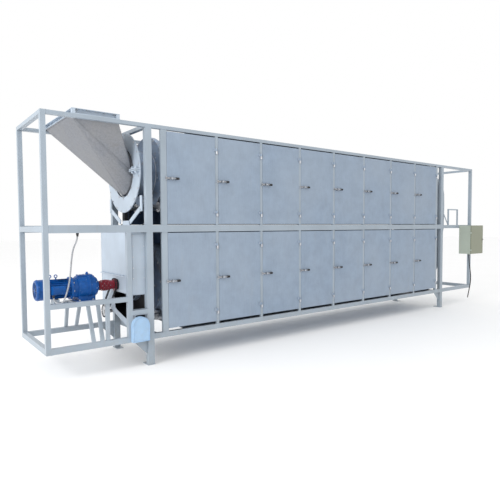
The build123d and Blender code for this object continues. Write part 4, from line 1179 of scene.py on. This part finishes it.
def smooth_cord(name, route, diameter, key):
    """Round cord on one smooth spline."""
    curve = bpy.data.curves.new(name, "CURVE")
    curve.dimensions = "3D"
    spline = curve.splines.new("NURBS")
    spline.points.add(len(route) - 1)
    for point, place in zip(spline.points, route):
        point.co = (*place, 1.0)
    spline.order_u = 3
    spline.use_endpoint_u = True
    spline.resolution_u = 12
    curve.bevel_depth = diameter / 2
    curve.bevel_resolution = 5
    curve.use_fill_caps = True
    made = bpy.data.objects.new(name, curve)
    bpy.context.scene.collection.objects.link(made)
    curve.materials.append(finish_for(key))
    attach(made, ROOT)
    return made


class DRYER_OT_cables(bpy.types.Operator):
    """Supply cable under the control box and the motor's conduit"""
    bl_idname = "dryer.cables"
    bl_label = "Cables"

    def execute(self, context):
        sizes = context.scene.dryer_cords
        dress_node("supply_cable", "cable_black")
        dress_node("conduit_cable", "conduit_grey")
        supply = smooth_cord("supply_lead", SUPPLY_ROUTE, sizes.supply_diameter, "cable_black")
        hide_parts("supply_cable")
        conduit = smooth_cord("motor_conduit", CONDUIT_ROUTE, sizes.conduit_diameter, "conduit_grey")
        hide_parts("conduit_cable")
        self.strain_reliefs()
        return {"FINISHED"}


    def strain_reliefs(self):
        """Nut and tapered sleeve at each end of the conduit."""
        bm = bmesh.new()
        for end in (CONDUIT_ROUTE[0], CONDUIT_ROUTE[-1]):
            start = Vector(end)
            nut_end = start - Vector((0, 0, 0.014))
            add_rod(bm, start, nut_end, 0.0150, 6, rounding=0.001)
            add_rod(bm, nut_end, start - Vector((0, 0, 0.036)), 0.0130, 24, 0.0092)
        piece("conduit_glands", bm, ROOT, "grip_rubber")


# ------------------------------------------------------------ stage

class DRYER_OT_stage(bpy.types.Operator):
    """Floor, backdrop, lights and camera"""
    bl_idname = "dryer.stage"
    bl_label = "Stage"

    def execute(self, context):
        settings = context.scene.dryer_stage
        self.floor(settings)
        self.lights(settings)
        self.camera(context, settings)
        context.scene.view_settings.view_transform = "Standard"
        return {"FINISHED"}

    def floor(self, settings):
        bm = bmesh.new()
        bmesh.ops.create_grid(bm, x_segments=1, y_segments=1, size=60.0)
        mesh = bpy.data.meshes.new("studio_floor")
        bm.to_mesh(mesh)
        bm.free()
        mesh.materials.append(floor_finish("studio_floor_finish", settings.floor_colour))
        floor = bpy.data.objects.new("studio_floor", mesh)
        bpy.context.scene.collection.objects.link(floor)

    def lights(self, settings):
        world = bpy.data.worlds.new("studio_surroundings")
        world.use_nodes = True
        background = world.node_tree.nodes["Background"]
        background.inputs["Color"].default_value = (1.0, 1.0, 1.0, 1.0)
        background.inputs["Strength"].default_value = settings.sky_strength
        bpy.context.scene.world = world
        lamps = (
            ("key_light", (-13.0, -3.0, 6.0), (-2.0, 0.0, 1.3), 6.0, settings.key_power),
            ("fill_light", (-4.5, -11.0, 7.0), (1.0, 0.0, 1.3), 9.0, settings.fill_power),
        )
        for name, place, target, size, power in lamps:
            data = bpy.data.lights.new(name, "AREA")
            data.shape = "SQUARE"
            data.size = size
            data.energy = power
            lamp = bpy.data.objects.new(name, data)
            lamp.location = place
            lamp.rotation_euler = (Vector(target) - Vector(place)).to_track_quat("-Z", "Y").to_euler()
            bpy.context.scene.collection.objects.link(lamp)

    def camera(self, context, settings):
        yaw, pitch, roll = radians(37.61), radians(-2.779), radians(-0.325)
        ahead = Vector((sin(yaw) * cos(pitch), cos(yaw) * cos(pitch), sin(pitch)))
        across = Vector((cos(yaw), -sin(yaw), 0.0))
        upward = across.cross(ahead)
        right = across * cos(roll) + upward * sin(roll)
        up = upward * cos(roll) - across * sin(roll)
        turn = Matrix((right, up, -ahead)).transposed().to_4x4()
        data = bpy.data.cameras.new("front_left_camera")
        data.lens = settings.lens
        data.sensor_width = 36.0
        data.clip_end = 200.0
        camera = bpy.data.objects.new("front_left_camera", data)
        camera.matrix_world = Matrix.Translation((-5.295, -5.329, 1.543)) @ turn
        context.scene.collection.objects.link(camera)
        context.scene.camera = camera


# ------------------------------------------------------------ sidebar

OPERATORS = (
    DRYER_OT_frame, DRYER_OT_doors, DRYER_OT_latches, DRYER_OT_drums, DRYER_OT_feed, DRYER_OT_discharge,
    DRYER_OT_transfer, DRYER_OT_drive, DRYER_OT_chains, DRYER_OT_control_box, DRYER_OT_cables, DRYER_OT_stage,
)
SETTINGS = (
    (PaintSettings, "dryer_paint"),
    (FittingSettings, "dryer_fittings"),
    (CordSettings, "dryer_cords"),
    (StageSettings, "dryer_stage"),
)


class DRYER_PT_sidebar(bpy.types.Panel):
    """Lists the dryer's pieces and settings"""
    bl_idname = "DRYER_PT_sidebar"
    bl_label = "Drum Dryer"
    bl_space_type = "VIEW_3D"
    bl_region_type = "UI"
    bl_category = "Drum Dryer"

    def draw(self, context):
        for operator in OPERATORS:
            self.layout.operator(operator.bl_idname)
        for group, attribute in SETTINGS:
            box = self.layout.box()
            for name in group.__annotations__:
                box.prop(getattr(context.scene, attribute), name)


def register():
    for group, attribute in SETTINGS:
        bpy.utils.register_class(group)
        setattr(bpy.types.Scene, attribute, PointerProperty(type=group))
    for operator in OPERATORS:
        bpy.utils.register_class(operator)
    bpy.utils.register_class(DRYER_PT_sidebar)


def unregister():
    bpy.utils.unregister_class(DRYER_PT_sidebar)
    for operator in reversed(OPERATORS):
        bpy.utils.unregister_class(operator)
    for group, attribute in SETTINGS:
        delattr(bpy.types.Scene, attribute)
        bpy.utils.unregister_class(group)


def main():
    register()
    bpy.ops.dryer.frame()
    bpy.ops.dryer.doors()
    bpy.ops.dryer.latches()
    bpy.ops.dryer.drums()
    bpy.ops.dryer.feed()
    bpy.ops.dryer.discharge()
    bpy.ops.dryer.transfer()
    bpy.ops.dryer.drive()
    bpy.ops.dryer.chains()
    bpy.ops.dryer.control_box()
    bpy.ops.dryer.cables()
    bpy.ops.dryer.stage()


if __name__ == "__main__":
    main()
